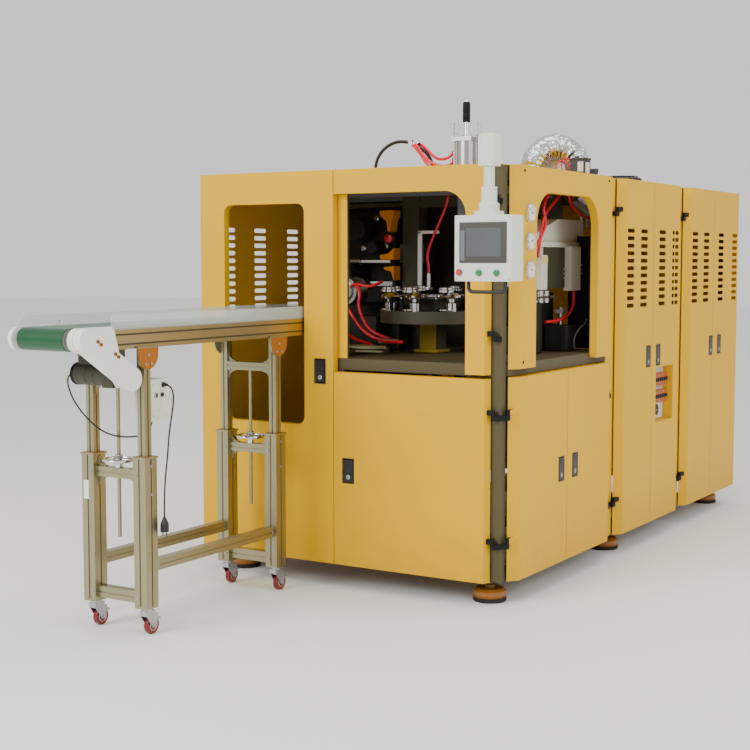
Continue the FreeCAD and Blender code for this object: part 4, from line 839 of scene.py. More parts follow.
class MOULDER_OT_hinge_covers(bpy.types.Operator):
    """Black covers over the doors' hinge lugs"""
    bl_idname = "moulder.hinge_covers"
    bl_label = "Hinge covers"

    def execute(self, context):
        for node, body, pin, heights in HINGES:
            bm = bmesh.new()
            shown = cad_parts[node]
            bm.from_mesh(shown.data)
            bmesh.ops.transform(bm, matrix=shown.matrix_world, verts=bm.verts)
            spare = [f for f in bm.faces if not any(on_lug(f, pin, low) for low in heights)]
            bmesh.ops.delete(bm, geom=spare, context="FACES")
            if not bm.faces:
                raise RuntimeError("no hinge lug on " + node)
            bmesh.ops.remove_doubles(bm, verts=bm.verts, dist=1e-6)
            bm.normal_update()
            for vert in bm.verts:
                vert.co += vert.normal * COVER_PROUD
            for layer in list(bm.loops.layers.uv):
                bm.loops.layers.uv.remove(layer)
            for face in bm.faces:
                face.material_index = 0
            finish_piece(node + "_lug_cover", bm, "hinge", body)
        return {"FINISHED"}


class MOULDER_OT_foil_duct(bpy.types.Operator):
    """Ridged and crumpled foil duct over the roof"""
    bl_idname = "moulder.foil_duct"
    bl_label = "Foil duct"

    def execute(self, context):
        start, radius, bend, rise = Vector((-0.25, 0.96, ROOF)), 0.066, 0.12, 0.04
        along = Vector((0.8, 0.6, 0.0))
        up = Vector((0, 0, 1))
        arc = math.pi * bend
        total = arc + 2 * rise
        rings, sides = 132, 72
        bm = bmesh.new()
        rows = []
        for step in range(rings + 1):
            run = total * step / rings
            if run < rise:
                spot, out = start + up * run, -along
            elif run > rise + arc:
                spot, out = start + along * 2 * bend + up * (total - run), along
            else:
                turn = (run - rise) / bend
                out = -along * math.cos(turn) + up * math.sin(turn)
                spot = start + along * bend + up * rise + out * bend
            across = Vector((-along.y, along.x, 0.0))
            row = []
            for side in range(sides):
                angle = 2 * math.pi * side / sides
                push = out * math.cos(angle) + across * math.sin(angle)
                place = spot + push * radius
                uneven = 1.0 + 0.8 * noise.noise(place * 14.0)
                ridge = 0.0018 * uneven * math.sin(2 * math.pi * run / 0.03 + 3.0 * noise.noise(place * 9.0))
                crease = 0.01 * noise.noise(place * 24.0) + 0.0046 * abs(noise.noise(place * 62.0)) - 0.0018
                row.append(bm.verts.new(spot + push * (radius + ridge + crease)))
            rows.append(row)
        for low, high in zip(rows, rows[1:]):
            for side in range(sides):
                nxt = (side + 1) % sides
                bm.faces.new((low[side], low[nxt], high[nxt], high[side]))
        bm.faces.new(rows[0])
        bm.faces.new(rows[-1])
        made = finish_piece("crumpled_duct", bm, "foil", "cabinet", smooth=50.0)
        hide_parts("foil_duct")
        bands = bmesh.new()
        for spot in (start, start + along * 2 * bend):
            turned(bands, spot, (0, 0, 1), [(0.07, 0.001), (0.074, 0.001), (0.074, 0.01), (0.07, 0.01)], 48)
            turned(bands, spot, (0, 0, 1), [(0.084, 0.0), (0.084, 0.0025), (0.06, 0.0025)], 48)
        finish_piece("duct_bands", bands, "zinc", "cabinet")
        return {"FINISHED"}


class MOULDER_OT_panel_screws(bpy.types.Operator):
    """Dark screws in the fixed panels, the roof edge and the corner post"""
    bl_idname = "moulder.panel_screws"
    bl_label = "Panel screws"

    def execute(self, context):
        bm = bmesh.new()
        for y in (0.022, 1.02):
            bolt(bm, (SIDE, y, 1.976), (1, 0, 0), 0.0062, 0.003)
        bolt(bm, (SIDE, 0.022, 1.111), (1, 0, 0), 0.0062, 0.003)
        for y in (0.3, 0.75, 1.45, 1.95, 2.45, 2.95):
            bolt(bm, (0.06, y, ROOF), (0, 0, 1), 0.0075, 0.005)
        for x in (-1.45, -1.05, -0.65, -0.25):
            bolt(bm, (x, -0.06, ROOF), (0, 0, 1), 0.0075, 0.005)
            bolt(bm, (x, 3.15, ROOF), (0, 0, 1), 0.0075, 0.005)
        finish_piece("panel_screws_dark", bm, "hinge", "cabinet")
        return {"FINISHED"}


class MOULDER_OT_roof_gear(bpy.types.Operator):
    """Air hoses, solenoid box, hood piece and fan on the roof, with the press cylinder's fittings"""
    bl_idname = "moulder.roof_gear"
    bl_label = "Roof gear"

    def execute(self, context):
        joints = bmesh.new()
        routes = (
            ((-0.668, 0.44, 2.16), (-0.64, 0.425, 2.15), (-0.6, 0.405, 2.105), (-0.545, 0.4, 2.055),
             (-0.48, 0.4, 2.035), (-0.44, 0.405, 2.04), (-0.424, 0.42, 2.06), (-0.421, 0.432, 2.08)),
            ((-0.672, 0.462, 2.164), (-0.64, 0.47, 2.16), (-0.59, 0.455, 2.12), (-0.53, 0.425, 2.078),
             (-0.47, 0.405, 2.07), (-0.432, 0.41, 2.09), (-0.421, 0.425, 2.115), (-0.419, 0.432, 2.14)),
            ((-0.665, 0.43, 2.15), (-0.622, 0.415, 2.118), (-0.57, 0.392, 2.058), (-0.52, 0.382, 2.02),
             (-0.47, 0.372, 2.01), (-0.43, 0.362, 2.016)),
        )
        for index, points in enumerate(routes):
            cord_curve("roof_hose_%d" % (index + 1), points, 0.0075, "hose", "cabinet")
            bolt(joints, points[-1], Vector(points[-1]) - Vector(points[-2]), 0.01, 0.012)
        block(joints, (-0.69, 0.425, 2.148), (-0.668, 0.475, 2.178))
        turned(joints, (-0.66, 0.447, 2.157), (0.82, 0.0, -0.55),
               [(0.019, -0.012), (0.021, 0.0), (0.019, 0.016)], 24)
        finish_piece("roof_hose_joints", joints, "zinc", "cabinet")
        bm = bmesh.new()
        x, y = -0.372, 0.45
        for dx in (-0.036, 0.036):
            for dy in (-0.036, 0.036):
                tube(bm, (x + dx, y + dy, 2.014), (x + dx, y + dy, 2.192), 0.0055, sides=16)
                bolt(bm, (x + dx, y + dy, 2.19), (0, 0, 1), 0.0085, 0.007)
        for dx in (-0.073, 0.073):
            turned(bm, (x + dx, y, 2.012), (0, 0, 1), [(0.018, 0.0), (0.018, 0.014), (0.012, 0.016)], 24)
        finish_piece("cylinder_tie_rods", bm, "steel", "cabinet")
        bm = bmesh.new()
        turned(bm, (x, y, 2.2505), (0, 0, 1), [
            (0.0166, 0.0), (0.0185, 0.004), (0.0185, 0.014), (0.0172, 0.016), (0.0185, 0.018),
            (0.0185, 0.044), (0.0172, 0.046), (0.0185, 0.048), (0.0185, 0.092), (0.015, 0.1),
            (0.0128, 0.1)], 24)
        finish_piece("ram_stop_nut", bm, "hinge", "ram")
        bm = bmesh.new()
        block(bm, (-0.042, 0.965, 2.004), (0.036, 1.045, 2.094))
        block(bm, (-0.046, 0.961, 2.086), (0.04, 1.049, 2.096))
        finish_piece("solenoid_box", bm, "socket", "cabinet", bevel=0.002)
        bm = bmesh.new()
        block(bm, (0.0365, 0.978, 2.02), (0.0375, 1.03, 2.074))
        block(bm, (0.0, 0.964, 2.026), (0.03, 0.9648, 2.076))
        finish_piece("solenoid_plates", bm, "white_plate", "cabinet")
        bm = bmesh.new()
        outline_plate(bm, [(1.05, 2.0025), (1.13, 2.0025), (1.15, 2.046), (1.136, 2.05), (1.118, 2.022),
                           (1.05, 2.018)], "x", -0.01, 0.05)
        finish_piece("cable_shoe", bm, "socket", "cabinet", bevel=0.002)
        loops = (
            ((-0.046, 0.975, 2.06), (-0.075, 0.965, 2.085), (-0.105, 0.95, 2.082), (-0.112, 0.94, 2.045),
             (-0.098, 0.935, 2.012), (-0.098, 0.935, 2.002)),
            ((-0.046, 0.99, 2.075), (-0.062, 0.985, 2.1), (-0.084, 0.975, 2.102), (-0.09, 0.96, 2.06),
             (-0.076, 0.955, 2.015), (-0.076, 0.955, 2.002)),
            ((-0.046, 1.01, 2.05), (-0.07, 1.01, 2.062), (-0.08, 1.012, 2.04), (-0.07, 1.01, 2.002)),
        )
        for index, points in enumerate(loops):
            cord_curve("solenoid_wire_%d" % (index + 1), points, 0.0035, "hose", "cabinet")
        bm = bmesh.new()
        outline_plate(bm, [(-0.235, 2.0025), (-0.11, 2.0025), (-0.11, 2.072), (-0.165, 2.1), (-0.235, 2.1)],
                      "y", 1.05, 0.075)
        finish_piece("duct_hood", bm, "guard", "cabinet", bevel=0.002)
        bm = bmesh.new()
        turned(bm, (-0.06, 1.72, ROOF), (0, 0, 1), [
            (0.105, 0.002), (0.112, 0.006), (0.112, 0.024), (0.104, 0.032), (0.06, 0.036), (0.0, 0.036)], 40)
        for step in range(4):
            ring(bm, (-0.06, 1.72, 2.036 + 0.001 * step), (0, 0, 1), 0.03 + 0.02 * step, 0.0022, 40, 6)
        finish_piece("roof_fan", bm, "socket", "cabinet")
        bm = bmesh.new()
        tube(bm, (0.04, 2.02, 2.002), (0.04, 2.02, 2.06), 0.0022, sides=10)
        finish_piece("roof_pin", bm, "zinc", "cabinet")
        return {"FINISHED"}


DECK = 1.106           # top of the deck inside the cabinet


class MOULDER_OT_clamp_gear(bpy.types.Operator):
    """Mould clamp, castings, rods and hoses seen through the front window"""
    bl_idname = "moulder.clamp_gear"
    bl_label = "Clamp gear"

    def execute(self, context):
        bm = bmesh.new()
        block(bm, (-1.455, 1.08, DECK), (-0.52, 1.09, 1.945))
        finish_piece("rear_sheet", bm, "back_sheet", "cabinet")
        # A dark red-brown sheet at the back of the outfeed bay, painted as the shade inside it.
        bm = bmesh.new()
        block(bm, (-1.466, 0.815, 0.165), (-0.795, 0.822, 1.24))
        finish_piece("outfeed_shade_sheet", bm, "interior_shade_sheet", "cabinet")
        bm = bmesh.new()
        block(bm, (-1.466, 0.812, 1.06), (-0.795, 0.85, 1.2))
        block(bm, (-1.42, 0.985, DECK), (-1.01, 1.078, 1.9))
        finish_piece("rear_partition", bm, "partition", "cabinet")
        bm = bmesh.new()
        block(bm, (-1.33, 0.84, 1.34), (-1.01, 0.984, 1.84))
        block(bm, (-1.3, 0.7, DECK), (-0.9, 0.838, 1.33))
        block(bm, (-1.18, 0.56, DECK), (-0.96, 0.698, 1.28))
        tube(bm, (-1.18, 0.83, 1.74), (-1.18, 0.7, 1.74), 0.06)
        tube(bm, (-1.09, 0.83, 1.64), (-1.09, 0.72, 1.64), 0.034)
        tube(bm, (-1.22, 0.83, 1.5), (-1.22, 0.64, 1.5), 0.052)
        finish_piece("clamp_housing", bm, "partition", "cabinet", bevel=0.006)
        bm = bmesh.new()
        block(bm, (-1.46, 0.93, 1.895), (-0.14, 0.975, 1.945))
        block(bm, (-1.46, 0.6, 1.906), (-0.14, 0.64, 1.945))
        finish_piece("top_beams", bm, "press_grey", "cabinet", bevel=0.003)
        bm = bmesh.new()
        block(bm, (-1.38, 0.9, 1.862), (-0.99, 0.928, 1.886))
        block(bm, (-0.86, 0.9, 1.862), (-0.56, 0.928, 1.886))
        finish_piece("olive_beams", bm, "frame", "cabinet", bevel=0.002)
        bm = bmesh.new()
        castings = (
            [(-1.066, 1.842), (-1.061, 1.812), (-1.022, 1.782), (-1.013, 1.726), (-0.998, 1.726),
             (-0.99, 1.782), (-0.974, 1.812), (-0.974, 1.842)],
            [(-1.065, 1.602), (-1.058, 1.575), (-0.974, 1.575), (-0.974, 1.64), (-1.01, 1.612)],
            [(-1.039, 1.537), (-1.033, 1.521), (-0.992, 1.512), (-0.974, 1.462), (-0.974, 1.543)],
        )
        for points in castings:
            outline_plate(bm, points, "y", 0.76, 0.075)
        finish_piece("clamp_castings", bm, "cast_yellow", "cabinet", bevel=0.004)
        bm = bmesh.new()
        turned(bm, (-0.985, 0.76, 1.69), (0, -1, 0),
               [(0.012, 0.0), (0.012, 0.018), (0.022, 0.022), (0.022, 0.04), (0.0, 0.044)])
        finish_piece("clamp_knob", bm, "red_button", "cabinet")
        bm = bmesh.new()
        tube(bm, (-1.15, 0.72, 1.567), (-0.972, 0.72, 1.567), 0.0075)
        block(bm, (-0.785, 0.69, 1.42), (-0.763, 0.702, 1.724))
        block(bm, (-0.785, 0.69, 1.712), (-0.662, 0.702, 1.728))
        finish_piece("white_bars", bm, "guard", "cabinet", bevel=0.001)
        bm = bmesh.new()
        tube(bm, (-1.215, 0.72, 1.567), (-1.15, 0.72, 1.567), 0.02)
        tube(bm, (-1.08, 0.56, 1.412), (-1.08, 0.44, 1.412), 0.072)
        tube(bm, (-1.08, 0.445, 1.412), (-1.08, 0.425, 1.412), 0.05)
        block(bm, (-1.02, 0.59, 1.438), (-0.88, 0.612, 1.462))
        for x, z in ((-1.2, 1.64), (-1.13, 1.655), (-1.06, 1.65), (-1.12, 1.8), (-1.02, 1.76), (-1.19, 1.43)):
            turned(bm, (x, 0.838, z), (0, -1, 0),
                   [(0.018, 0.0), (0.018, 0.02), (0.012, 0.024), (0.0, 0.024)], 20)
        finish_piece("clamp_cylinders", bm, "steel", "cabinet", bevel=0.001)
        bm = bmesh.new()
        block(bm, (-0.632, 0.44, DECK), (-0.538, 0.54, 1.256))
        block(bm, (-0.655, 0.42, DECK), (-0.515, 0.56, 1.124))
        finish_piece("table_pedestal", bm, "ochre", "cabinet", bevel=0.006)
        bm = bmesh.new()
        block(bm, (-1.15, 0.18, DECK), (-0.9, 0.26, 1.124))
        block(bm, (-0.93, 0.3, DECK), (-0.76, 0.36, 1.138))
        tube(bm, (-0.93, 0.23, 1.137), (-0.7, 0.23, 1.137), 0.014)
        tube(bm, (-0.8, 0.33, 1.165), (-0.69, 0.33, 1.165), 0.018)
        finish_piece("bed_cylinders", bm, "aluminium", "cabinet", bevel=0.002)
        hoses = (
            ("clamp_hose_1", 0.0085, (
                (-1.085, 0.42, 1.47), (-1.06, 0.35, 1.44), (-1.001, 0.3, 1.381), (-0.947, 0.3, 1.29),
                (-0.887, 0.3, 1.219), (-0.803, 0.296, 1.176), (-0.709, 0.3, 1.162), (-0.65, 0.31, 1.165))),
            ("clamp_hose_2", 0.0085, (
                (-1.03, 0.425, 1.44), (-0.96, 0.37, 1.46), (-0.924, 0.34, 1.4), (-0.936, 0.34, 1.34),
                (-0.9, 0.34, 1.258), (-0.852, 0.34, 1.208), (-0.756, 0.34, 1.178), (-0.69, 0.335, 1.168))),
            ("clamp_hose_3", 0.0075, (
                (-1.12, 0.425, 1.35), (-1.1, 0.33, 1.3), (-1.01, 0.29, 1.23), (-0.92, 0.27, 1.176),
                (-0.84, 0.25, 1.16), (-0.79, 0.23, 1.152))),
            ("clamp_hose_4", 0.0075, (
                (-1.01, 0.445, 1.452), (-0.962, 0.445, 1.438), (-0.907, 0.45, 1.44), (-0.9, 0.52, 1.462))),
            ("drop_hose", 0.007, (
                (-0.586, 0.66, 1.905), (-0.599, 0.66, 1.848), (-0.648, 0.66, 1.751), (-0.697, 0.66, 1.648),
                (-0.711, 0.66, 1.592), (-0.7, 0.66, 1.537), (-0.7, 0.66, 1.5))),
        )
        for name, radius, points in hoses:
            cord_curve(name, points, radius, "hose", "cabinet")
        bm = bmesh.new()
        tube(bm, (-0.7, 0.66, 1.505), (-0.7, 0.66, 1.43), 0.012)
        block(bm, (-0.785, 0.64, 1.42), (-0.69, 0.69, 1.432))
        finish_piece("blow_nozzle", bm, "chrome", "cabinet")
        return {"FINISHED"}


class MOULDER_OT_table_gear(bpy.types.Operator):
    """Collars, jaws and pins on the rotary table"""
    bl_idname = "moulder.table_gear"
    bl_label = "Table gear"

    def execute(self, context):
        bright, dark = bmesh.new(), bmesh.new()
        x0, y0 = -0.585, 0.5
        for step in range(8):
            angle = math.radians(45 * step)
            out = Vector((math.cos(angle), math.sin(angle), 0))
            spot = Vector((x0, y0, 0)) + out * 0.232
            turned(bright, spot + Vector((0, 0, 1.412)), (0, 0, 1), [
                (0.02, 0.0), (0.04, 0.004), (0.04, 0.014), (0.034, 0.018), (0.034, 0.026), (0.026, 0.03),
                (0.026, 0.012), (0.0, 0.012)], 28)
            ring(bright, spot + Vector((0, 0, 1.327)), (0, 0, 1), 0.036, 0.005, 28, 8)
            across = Vector((-out.y, out.x, 0))
            for way in (-1, 1):
                foot = spot + across * 0.05 * way + Vector((0, 0, 1.322))
                tube(dark, foot, foot + Vector((0, 0, 0.062)), 0.01, sides=16)
                bolt(bright, foot + Vector((0, 0, 0.062)), (0, 0, 1), 0.0075, 0.006)
        for step in range(16):
            angle = math.radians(22.5 * step + 11.25)
            spot = (x0 + 0.14 * math.cos(angle), y0 + 0.14 * math.sin(angle), 1.393)
            bolt(bright, spot, (0, 0, 1), 0.007, 0.006)
        ring(bright, (x0, y0, 1.396), (0, 0, 1), 0.158, 0.0035, 64, 6)
        finish_piece("table_collars", bright, "chrome", "table")
        finish_piece("table_pins", dark, "hinge", "table")
        return {"FINISHED"}


class MOULDER_OT_oven_gear(bpy.types.Operator):
    """Hood, reflectors, drives and hoses seen through the service window"""
    bl_idname = "moulder.oven_gear"
    bl_label = "Oven gear"

    def execute(self, context):
        bm = bmesh.new()
        block(bm, (-0.0985, 0.77, 1.43), (-0.09, 1.06, 1.64))
        finish_piece("oven_reflector", bm, "casting", "cabinet", bevel=0.002)
        bm = bmesh.new()
        block(bm, (-0.0985, 0.69, 1.425), (-0.07, 0.762, 1.6))
        block(bm, (-0.0985, 1.02, 1.415), (-0.055, 1.15, 1.645))
        block(bm, (-0.0985, 0.7, 1.64), (-0.086, 1.27, 1.668))
        finish_piece("oven_covers", bm, "cream", "cabinet", bevel=0.003)
        bm = bmesh.new()
        block(bm, (-0.069, 0.69, 1.56), (-0.0685, 0.762, 1.592))
        finish_piece("heat_tape", bm, "heat_tape", "cabinet")
        bm = bmesh.new()
        for step in range(3):
            z = 1.5 + 0.022 * step
            block(bm, (-0.056, 1.152, z), (-0.05, 1.215, z + 0.006))
            block(bm, (-0.09, 0.975, z - 0.02), (-0.08, 1.018, z - 0.014))
        for y in (0.64, 0.76, 0.83):
            turned(bm, (-0.11, y, 1.418), (0, 0, 1),
                   [(0.02, -0.06), (0.02, 0.0), (0.014, 0.004), (0.0, 0.004)], 20)
        finish_piece("oven_pins", bm, "chrome", "cabinet")
        bm = bmesh.new()
        block(bm, (-0.44, 0.76, DECK), (-0.16, 1.04, 1.405))
        block(bm, (-0.15, 0.9, DECK), (-0.02, 1.02, 1.24))
        tube(bm, (-0.12, 0.7, DECK), (-0.12, 0.7, 1.36), 0.045)
        tube(bm, (-0.23, 0.6, DECK), (-0.23, 0.6, 1.24), 0.06)
        finish_piece("oven_drive", bm, "partition", "cabinet", bevel=0.006)
        bm = bmesh.new()
        tube(bm, (-0.12, 0.7, 1.36), (-0.12, 0.7, 1.372), 0.03)
        tube(bm, (-0.085, 0.96, 1.24), (-0.085, 0.96, 1.33), 0.012)
        block(bm, (-0.11, 0.93, 1.3), (-0.06, 0.99, 1.322))
        block(bm, (-0.2, 0.64, 1.38), (-0.09, 0.9, 1.392))
        finish_piece("oven_drive_metal", bm, "steel", "cabinet", bevel=0.001)
        bm = bmesh.new()
        block(bm, (-0.15, 1.2, DECK), (-0.03, 1.255, 1.7))
        finish_piece("oven_side_post", bm, "partition", "cabinet", bevel=0.003)
        bm = bmesh.new()
        block(bm, (-0.37, 1.27, 1.8), (-0.345, 1.56, 1.94))
        block(bm, (-0.34, 0.3, 1.78), (-0.3, 0.56, 1.94))
        finish_piece("hanging_boxes", bm, "press_grey", "cabinet", bevel=0.003)
        bm = bmesh.new()
        block(bm, (-0.062, 1.29, 1.204), (-0.034, 1.316, 1.244))
        finish_piece("hose_connector", bm, "cast_yellow", "cabinet", bevel=0.003)
        duct = [(-0.17, 1.3, 1.94), (-0.15, 1.4, 1.9), (-0.15, 1.5, 1.86), (-0.18, 1.58, 1.8)]
        made = cord_curve("inner_duct", duct, 0.06, "foil", "cabinet")
        routes = (
            ((-0.05, 0.96, 1.94), (-0.05, 0.973, 1.893), (-0.05, 1.013, 1.848), (-0.05, 1.119, 1.812),
             (-0.05, 1.23, 1.797), (-0.05, 1.33, 1.795)),
            ((-0.04, 0.86, 1.94), (-0.04, 0.837, 1.903), (-0.04, 0.741, 1.849), (-0.04, 0.66, 1.806),
             (-0.05, 0.64, 1.74), (-0.06, 0.64, 1.64), (-0.09, 0.68, 1.59)),
            ((-0.05, 0.76, 1.94), (-0.045, 0.7, 1.9), (-0.045, 0.64, 1.83), (-0.045, 0.69, 1.76),
             (-0.05, 0.65, 1.7), (-0.06, 0.6, 1.64)),
            ((-0.06, 1.062, 1.42), (-0.06, 1.085, 1.35), (-0.06, 1.001, 1.285), (-0.06, 0.875, 1.262),
             (-0.08, 0.764, 1.262)),
            ((-0.04, 1.29, 1.9), (-0.045, 1.3, 1.7), (-0.05, 1.271, 1.564), (-0.05, 1.29, 1.44),
             (-0.048, 1.34, 1.36), (-0.048, 1.31, 1.28), (-0.048, 1.303, 1.244)),
            ((-0.048, 1.303, 1.204), (-0.05, 1.3, 1.18), (-0.06, 1.285, 1.15), (-0.08, 1.27, 1.11)),
        )
        for index, points in enumerate(routes):
            cord_curve("oven_hose_%d" % (index + 1), points, 0.0075, "hose", "cabinet")
        wire_route = ((-0.02, 1.0, 1.11), (-0.015, 0.96, 1.16), (-0.015, 1.04, 1.22), (-0.02, 1.14, 1.24),
                      (-0.04, 1.2, 1.26))
        cord_curve("oven_wire", wire_route, 0.0035, "grey_hose", "cabinet")
        return {"FINISHED"}


CART_X = -1.1          # centre line of the conveyor
LEG_OUT = 0.143        # each leg's distance from it
LEG_YS = (-1.295, -0.365)
LEG_TOP = 0.75
AXLE_Y, AXLE_Z = 0.028, 0.0375    # a castor's axle behind its swivel, and its height


class MOULDER_OT_conveyor_fittings(bpy.types.Operator):
    """Screws, pivot covers, slot strips, motor cap and switch box fittings of the conveyor"""
    bl_idname = "moulder.conveyor_fittings"
    bl_label = "Conveyor fittings"

    def execute(self, context):
        bronze, bright = bmesh.new(), bmesh.new()
        outer = -0.89
        for y, z in ((-1.64, 1.256), (-1.622, 1.244), (-1.54, 1.202), (-1.522, 1.19)):
            bolt(bronze, (outer, y, z), (1, 0, 0), 0.008, 0.0055)
        finish_piece("guard_screws", bronze, "bronze", "conveyor")
        for y in LEG_YS:
            for way in (-1, 1):
                face = CART_X + way * 0.1692
                for dy, z in ((0.0, 1.183), (-0.018, 1.146), (0.018, 1.146)):
                    bolt(bright, (face + way * 0.0014, y + dy, z), (way, 0, 0), 0.0068, 0.005)
                for z in (1.088, 1.052):
                    bolt(bright, (CART_X + way * 0.108, y - 0.0195, z), (0, -1, 0), 0.0055, 0.004)
        for y in (-1.48, -0.9, -0.3):
            for way in (-1, 1):
                bolt(bright, (CART_X + way * 0.146, y, 1.322), (way, 0, 0), 0.005, 0.0035)
        finish_piece("conveyor_bolts", bright, "zinc", "conveyor")
        covers, dark = bmesh.new(), bmesh.new()
        for way in (-1, 1):
            start = CART_X + way * 0.169
            for y in LEG_YS:
                arc = [(y + 0.0625 * math.cos(math.radians(a)), 1.187 + 0.0625 * math.sin(math.radians(a)))
                       for a in range(180, 361, 10)]
                arc += [(y + 0.0625, 1.212), (y - 0.0625, 1.212)]
                outline_plate(covers, arc, "x", start, way * 0.0016)
            face = CART_X + way * 0.158
            for z in (1.233, 1.273):
                low, high = sorted((face - way * 0.004, face - way * 0.0022))
                block(dark, (low, -1.4965, z - 0.0039), (high, 0.2445, z + 0.0039))
        finish_piece("pivot_covers", covers, "bronze_plate", "conveyor")
        finish_piece("rail_slot_strips", dark, "slot_strip", "conveyor")
        bm = bmesh.new()
        y, z, r = -1.447, 1.107, 0.045
        for step in range(3):
            ring(bm, (-1.15 + 0.045 * step, y, z), (1, 0, 0), r + 0.0004, 0.0012, 36, 6)
        block(bm, (-1.15, y - 0.03, z + 0.04), (-1.08, y + 0.03, z + 0.07))
        finish_piece("motor_fins", bm, "motor", "conveyor", bevel=0.001)
        bm = bmesh.new()
        turned(bm, (-1.186, y, z), (1, 0, 0),
               [(0.012, -0.006), (0.038, -0.004), (0.047, 0.004), (0.047, 0.016), (0.045, 0.018)], 36)
        finish_piece("motor_cap", bm, "hinge", "conveyor", bevel=0.001)
        bm = bmesh.new()
        x1 = -0.945
        block(bm, (x1 - 0.0005, -1.262, 0.915), (x1 + 0.002, -1.166, 1.061))
        finish_piece("control_box_lid", bm, "panel_grey", "conveyor", bevel=0.001)
        bm = bmesh.new()
        for y, z in ((-1.254, 0.923), (-1.174, 0.923), (-1.254, 1.053), (-1.174, 1.053)):
            bolt(bm, (x1 + 0.002, y, z), (1, 0, 0), 0.003, 0.002)
        turned(bm, (x1 + 0.002, -1.236, 1.01), (1, 0, 0),
               [(0.012, 0.0), (0.012, 0.004), (0.009, 0.005), (0.0, 0.005)], 24)
        finish_piece("control_box_screws", bm, "zinc", "conveyor")
        bm = bmesh.new()
        block(bm, (x1 + 0.0068, -1.2375, 1.003), (x1 + 0.01, -1.2345, 1.017))
        turned(bm, (x1 + 0.002, -1.198, 1.01), (1, 0, 0), [(0.009, 0.0), (0.009, 0.006), (0.0, 0.007)], 20)
        finish_piece("control_box_knob", bm, "socket", "conveyor")
        return {"FINISHED"}


BRAKE_PEDAL = (
    (-0.02, 0.085), (0.03, 0.09), (0.075, 0.062), (0.078, 0.054), (0.058, 0.058), (0.02, 0.083),
)


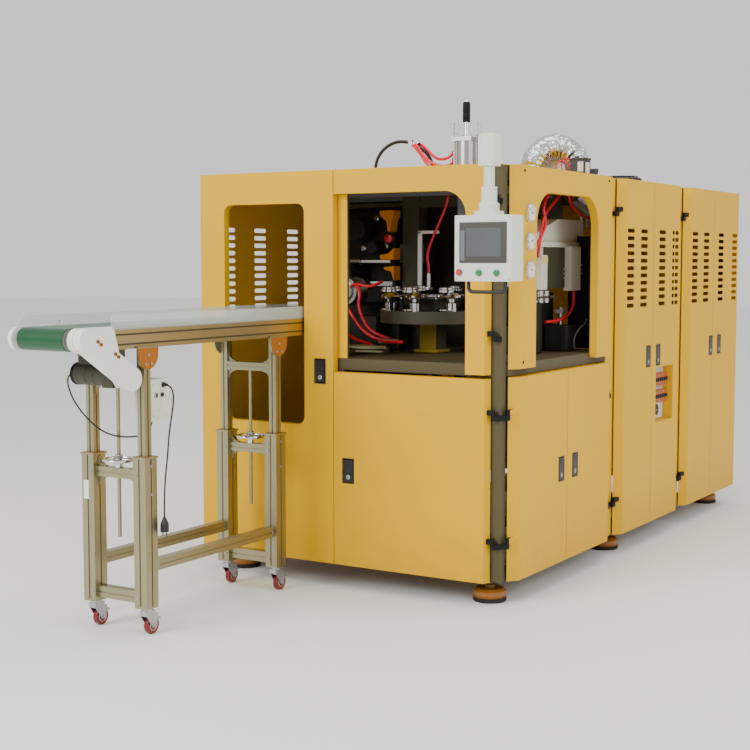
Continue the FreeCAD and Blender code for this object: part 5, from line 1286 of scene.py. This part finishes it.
class MOULDER_OT_stand_fittings(bpy.types.Operator):
    """Bolts, leg caps, tag, castor brakes and handwheel nuts of the conveyor stand"""
    bl_idname = "moulder.stand_fittings"
    bl_label = "Stand fittings"

    def execute(self, context):
        caps, bolts = bmesh.new(), bmesh.new()
        for y in LEG_YS:
            for way in (-1, 1):
                x = CART_X + way * LEG_OUT
                wide, long, bore = 0.0335, 0.038, 0.0215
                for x0, y0, x1, y1 in ((-wide, -long, -bore, long), (bore, -long, wide, long),
                                       (-bore, -long, bore, -bore), (-bore, bore, bore, long)):
                    block(caps, (x + x0, y + y0, LEG_TOP), (x + x1, y + y1, LEG_TOP + 0.01))
                for z in (0.72, 0.6):
                    bolt(bolts, (x + way * 0.033, y, z), (way, 0, 0), 0.006, 0.0045)
                for z in (0.16, 0.68):
                    bolt(bolts, (x - way * 0.016, y - 0.0375, z), (0, -1, 0), 0.006, 0.004)
        for way in (-1, 1):
            for y in (-1.24, -0.42):
                bolt(bolts, (CART_X + way * 0.163, y, 0.292), (way, 0, 0), 0.006, 0.0045)
        finish_piece("leg_caps", caps, "leg_cap", "cart", bevel=0.001)
        finish_piece("stand_bolts", bolts, "zinc", "cart")
        bm = bmesh.new()
        block(bm, (-1.2665, -1.3333, 0.56), (-1.2385, -1.3325, 0.64))
        finish_piece("leg_tag", bm, "guard", "cart")
        for end, y in zip(("front", "rear"), LEG_YS):
            for side, way in (("left", -1), ("right", 1)):
                x = CART_X + way * LEG_OUT
                body = "castor_%s_%s" % (end, side)
                bm = bmesh.new()
                pedal = [(y + dy, z) for dy, z in BRAKE_PEDAL]
                outline_plate(bm, pedal, "x", x - 0.011, 0.022)
                finish_piece(body + "_brake", bm, "zinc", body, bevel=0.002)
                bm = bmesh.new()
                for hand in (-1, 1):
                    bolt(bm, (x + hand * 0.0195, y + AXLE_Y, AXLE_Z), (hand, 0, 0), 0.0085, 0.0045)
                finish_piece(body + "_axle_nuts", bm, "zinc", body)
                bm = bmesh.new()
                for hand in (-1, 1):
                    ring(bm, (x + hand * 0.0118, y + AXLE_Y, AXLE_Z), (1, 0, 0), 0.0215, 0.0022, 28, 8)
                finish_piece(body + "_hub_ring", bm, "zinc", body + "_wheel")
        for end, y in zip(("front", "rear"), LEG_YS):
            bm = bmesh.new()
            turned(bm, (CART_X, y, LEG_TOP), (0, 0, 1),
                   [(0.0155, 0.0), (0.0155, 0.006), (0.0105, 0.008), (0.0105, 0.0)], 24)
            finish_piece("wheel_%s_nut" % end, bm, "zinc", end + "_handwheel")
        return {"FINISHED"}


STEPS = (
    "stage", "finishes", "cords", "latches", "gauges", "touch_panel", "breaker_panel", "panel_screws",
    "roof_gear", "clamp_gear", "table_gear", "oven_gear", "conveyor_fittings", "stand_fittings",
    "hinge_covers", "foil_duct",
)


class MOULDER_PT_sidebar(bpy.types.Panel):
    """The machine's build steps in the sidebar"""
    bl_label = "Blow Moulder"
    bl_space_type = "VIEW_3D"
    bl_region_type = "UI"
    bl_category = "Blow Moulder"

    def draw(self, context):
        for step in STEPS:
            self.layout.operator("moulder." + step)


CLASSES = [
    FinishSettings, FittingSettings, StudioSettings,
    MOULDER_OT_stage, MOULDER_OT_finishes, MOULDER_OT_cords, MOULDER_OT_latches, MOULDER_OT_gauges,
    MOULDER_OT_touch_panel, MOULDER_OT_breaker_panel, MOULDER_OT_panel_screws, MOULDER_OT_roof_gear,
    MOULDER_OT_clamp_gear, MOULDER_OT_table_gear, MOULDER_OT_oven_gear, MOULDER_OT_conveyor_fittings,
    MOULDER_OT_stand_fittings, MOULDER_OT_hinge_covers, MOULDER_OT_foil_duct, MOULDER_PT_sidebar,
]


def register():
    for made in CLASSES:
        bpy.utils.register_class(made)
    bpy.types.Scene.moulder_finish = bpy.props.PointerProperty(type=FinishSettings)
    bpy.types.Scene.moulder_fitting = bpy.props.PointerProperty(type=FittingSettings)
    bpy.types.Scene.moulder_studio = bpy.props.PointerProperty(type=StudioSettings)


def unregister():
    del bpy.types.Scene.moulder_studio
    del bpy.types.Scene.moulder_fitting
    del bpy.types.Scene.moulder_finish
    for made in reversed(CLASSES):
        bpy.utils.unregister_class(made)


def main():
    register()
    for step in STEPS:
        getattr(bpy.ops.moulder, step)()


if __name__ == "__main__":
    main()
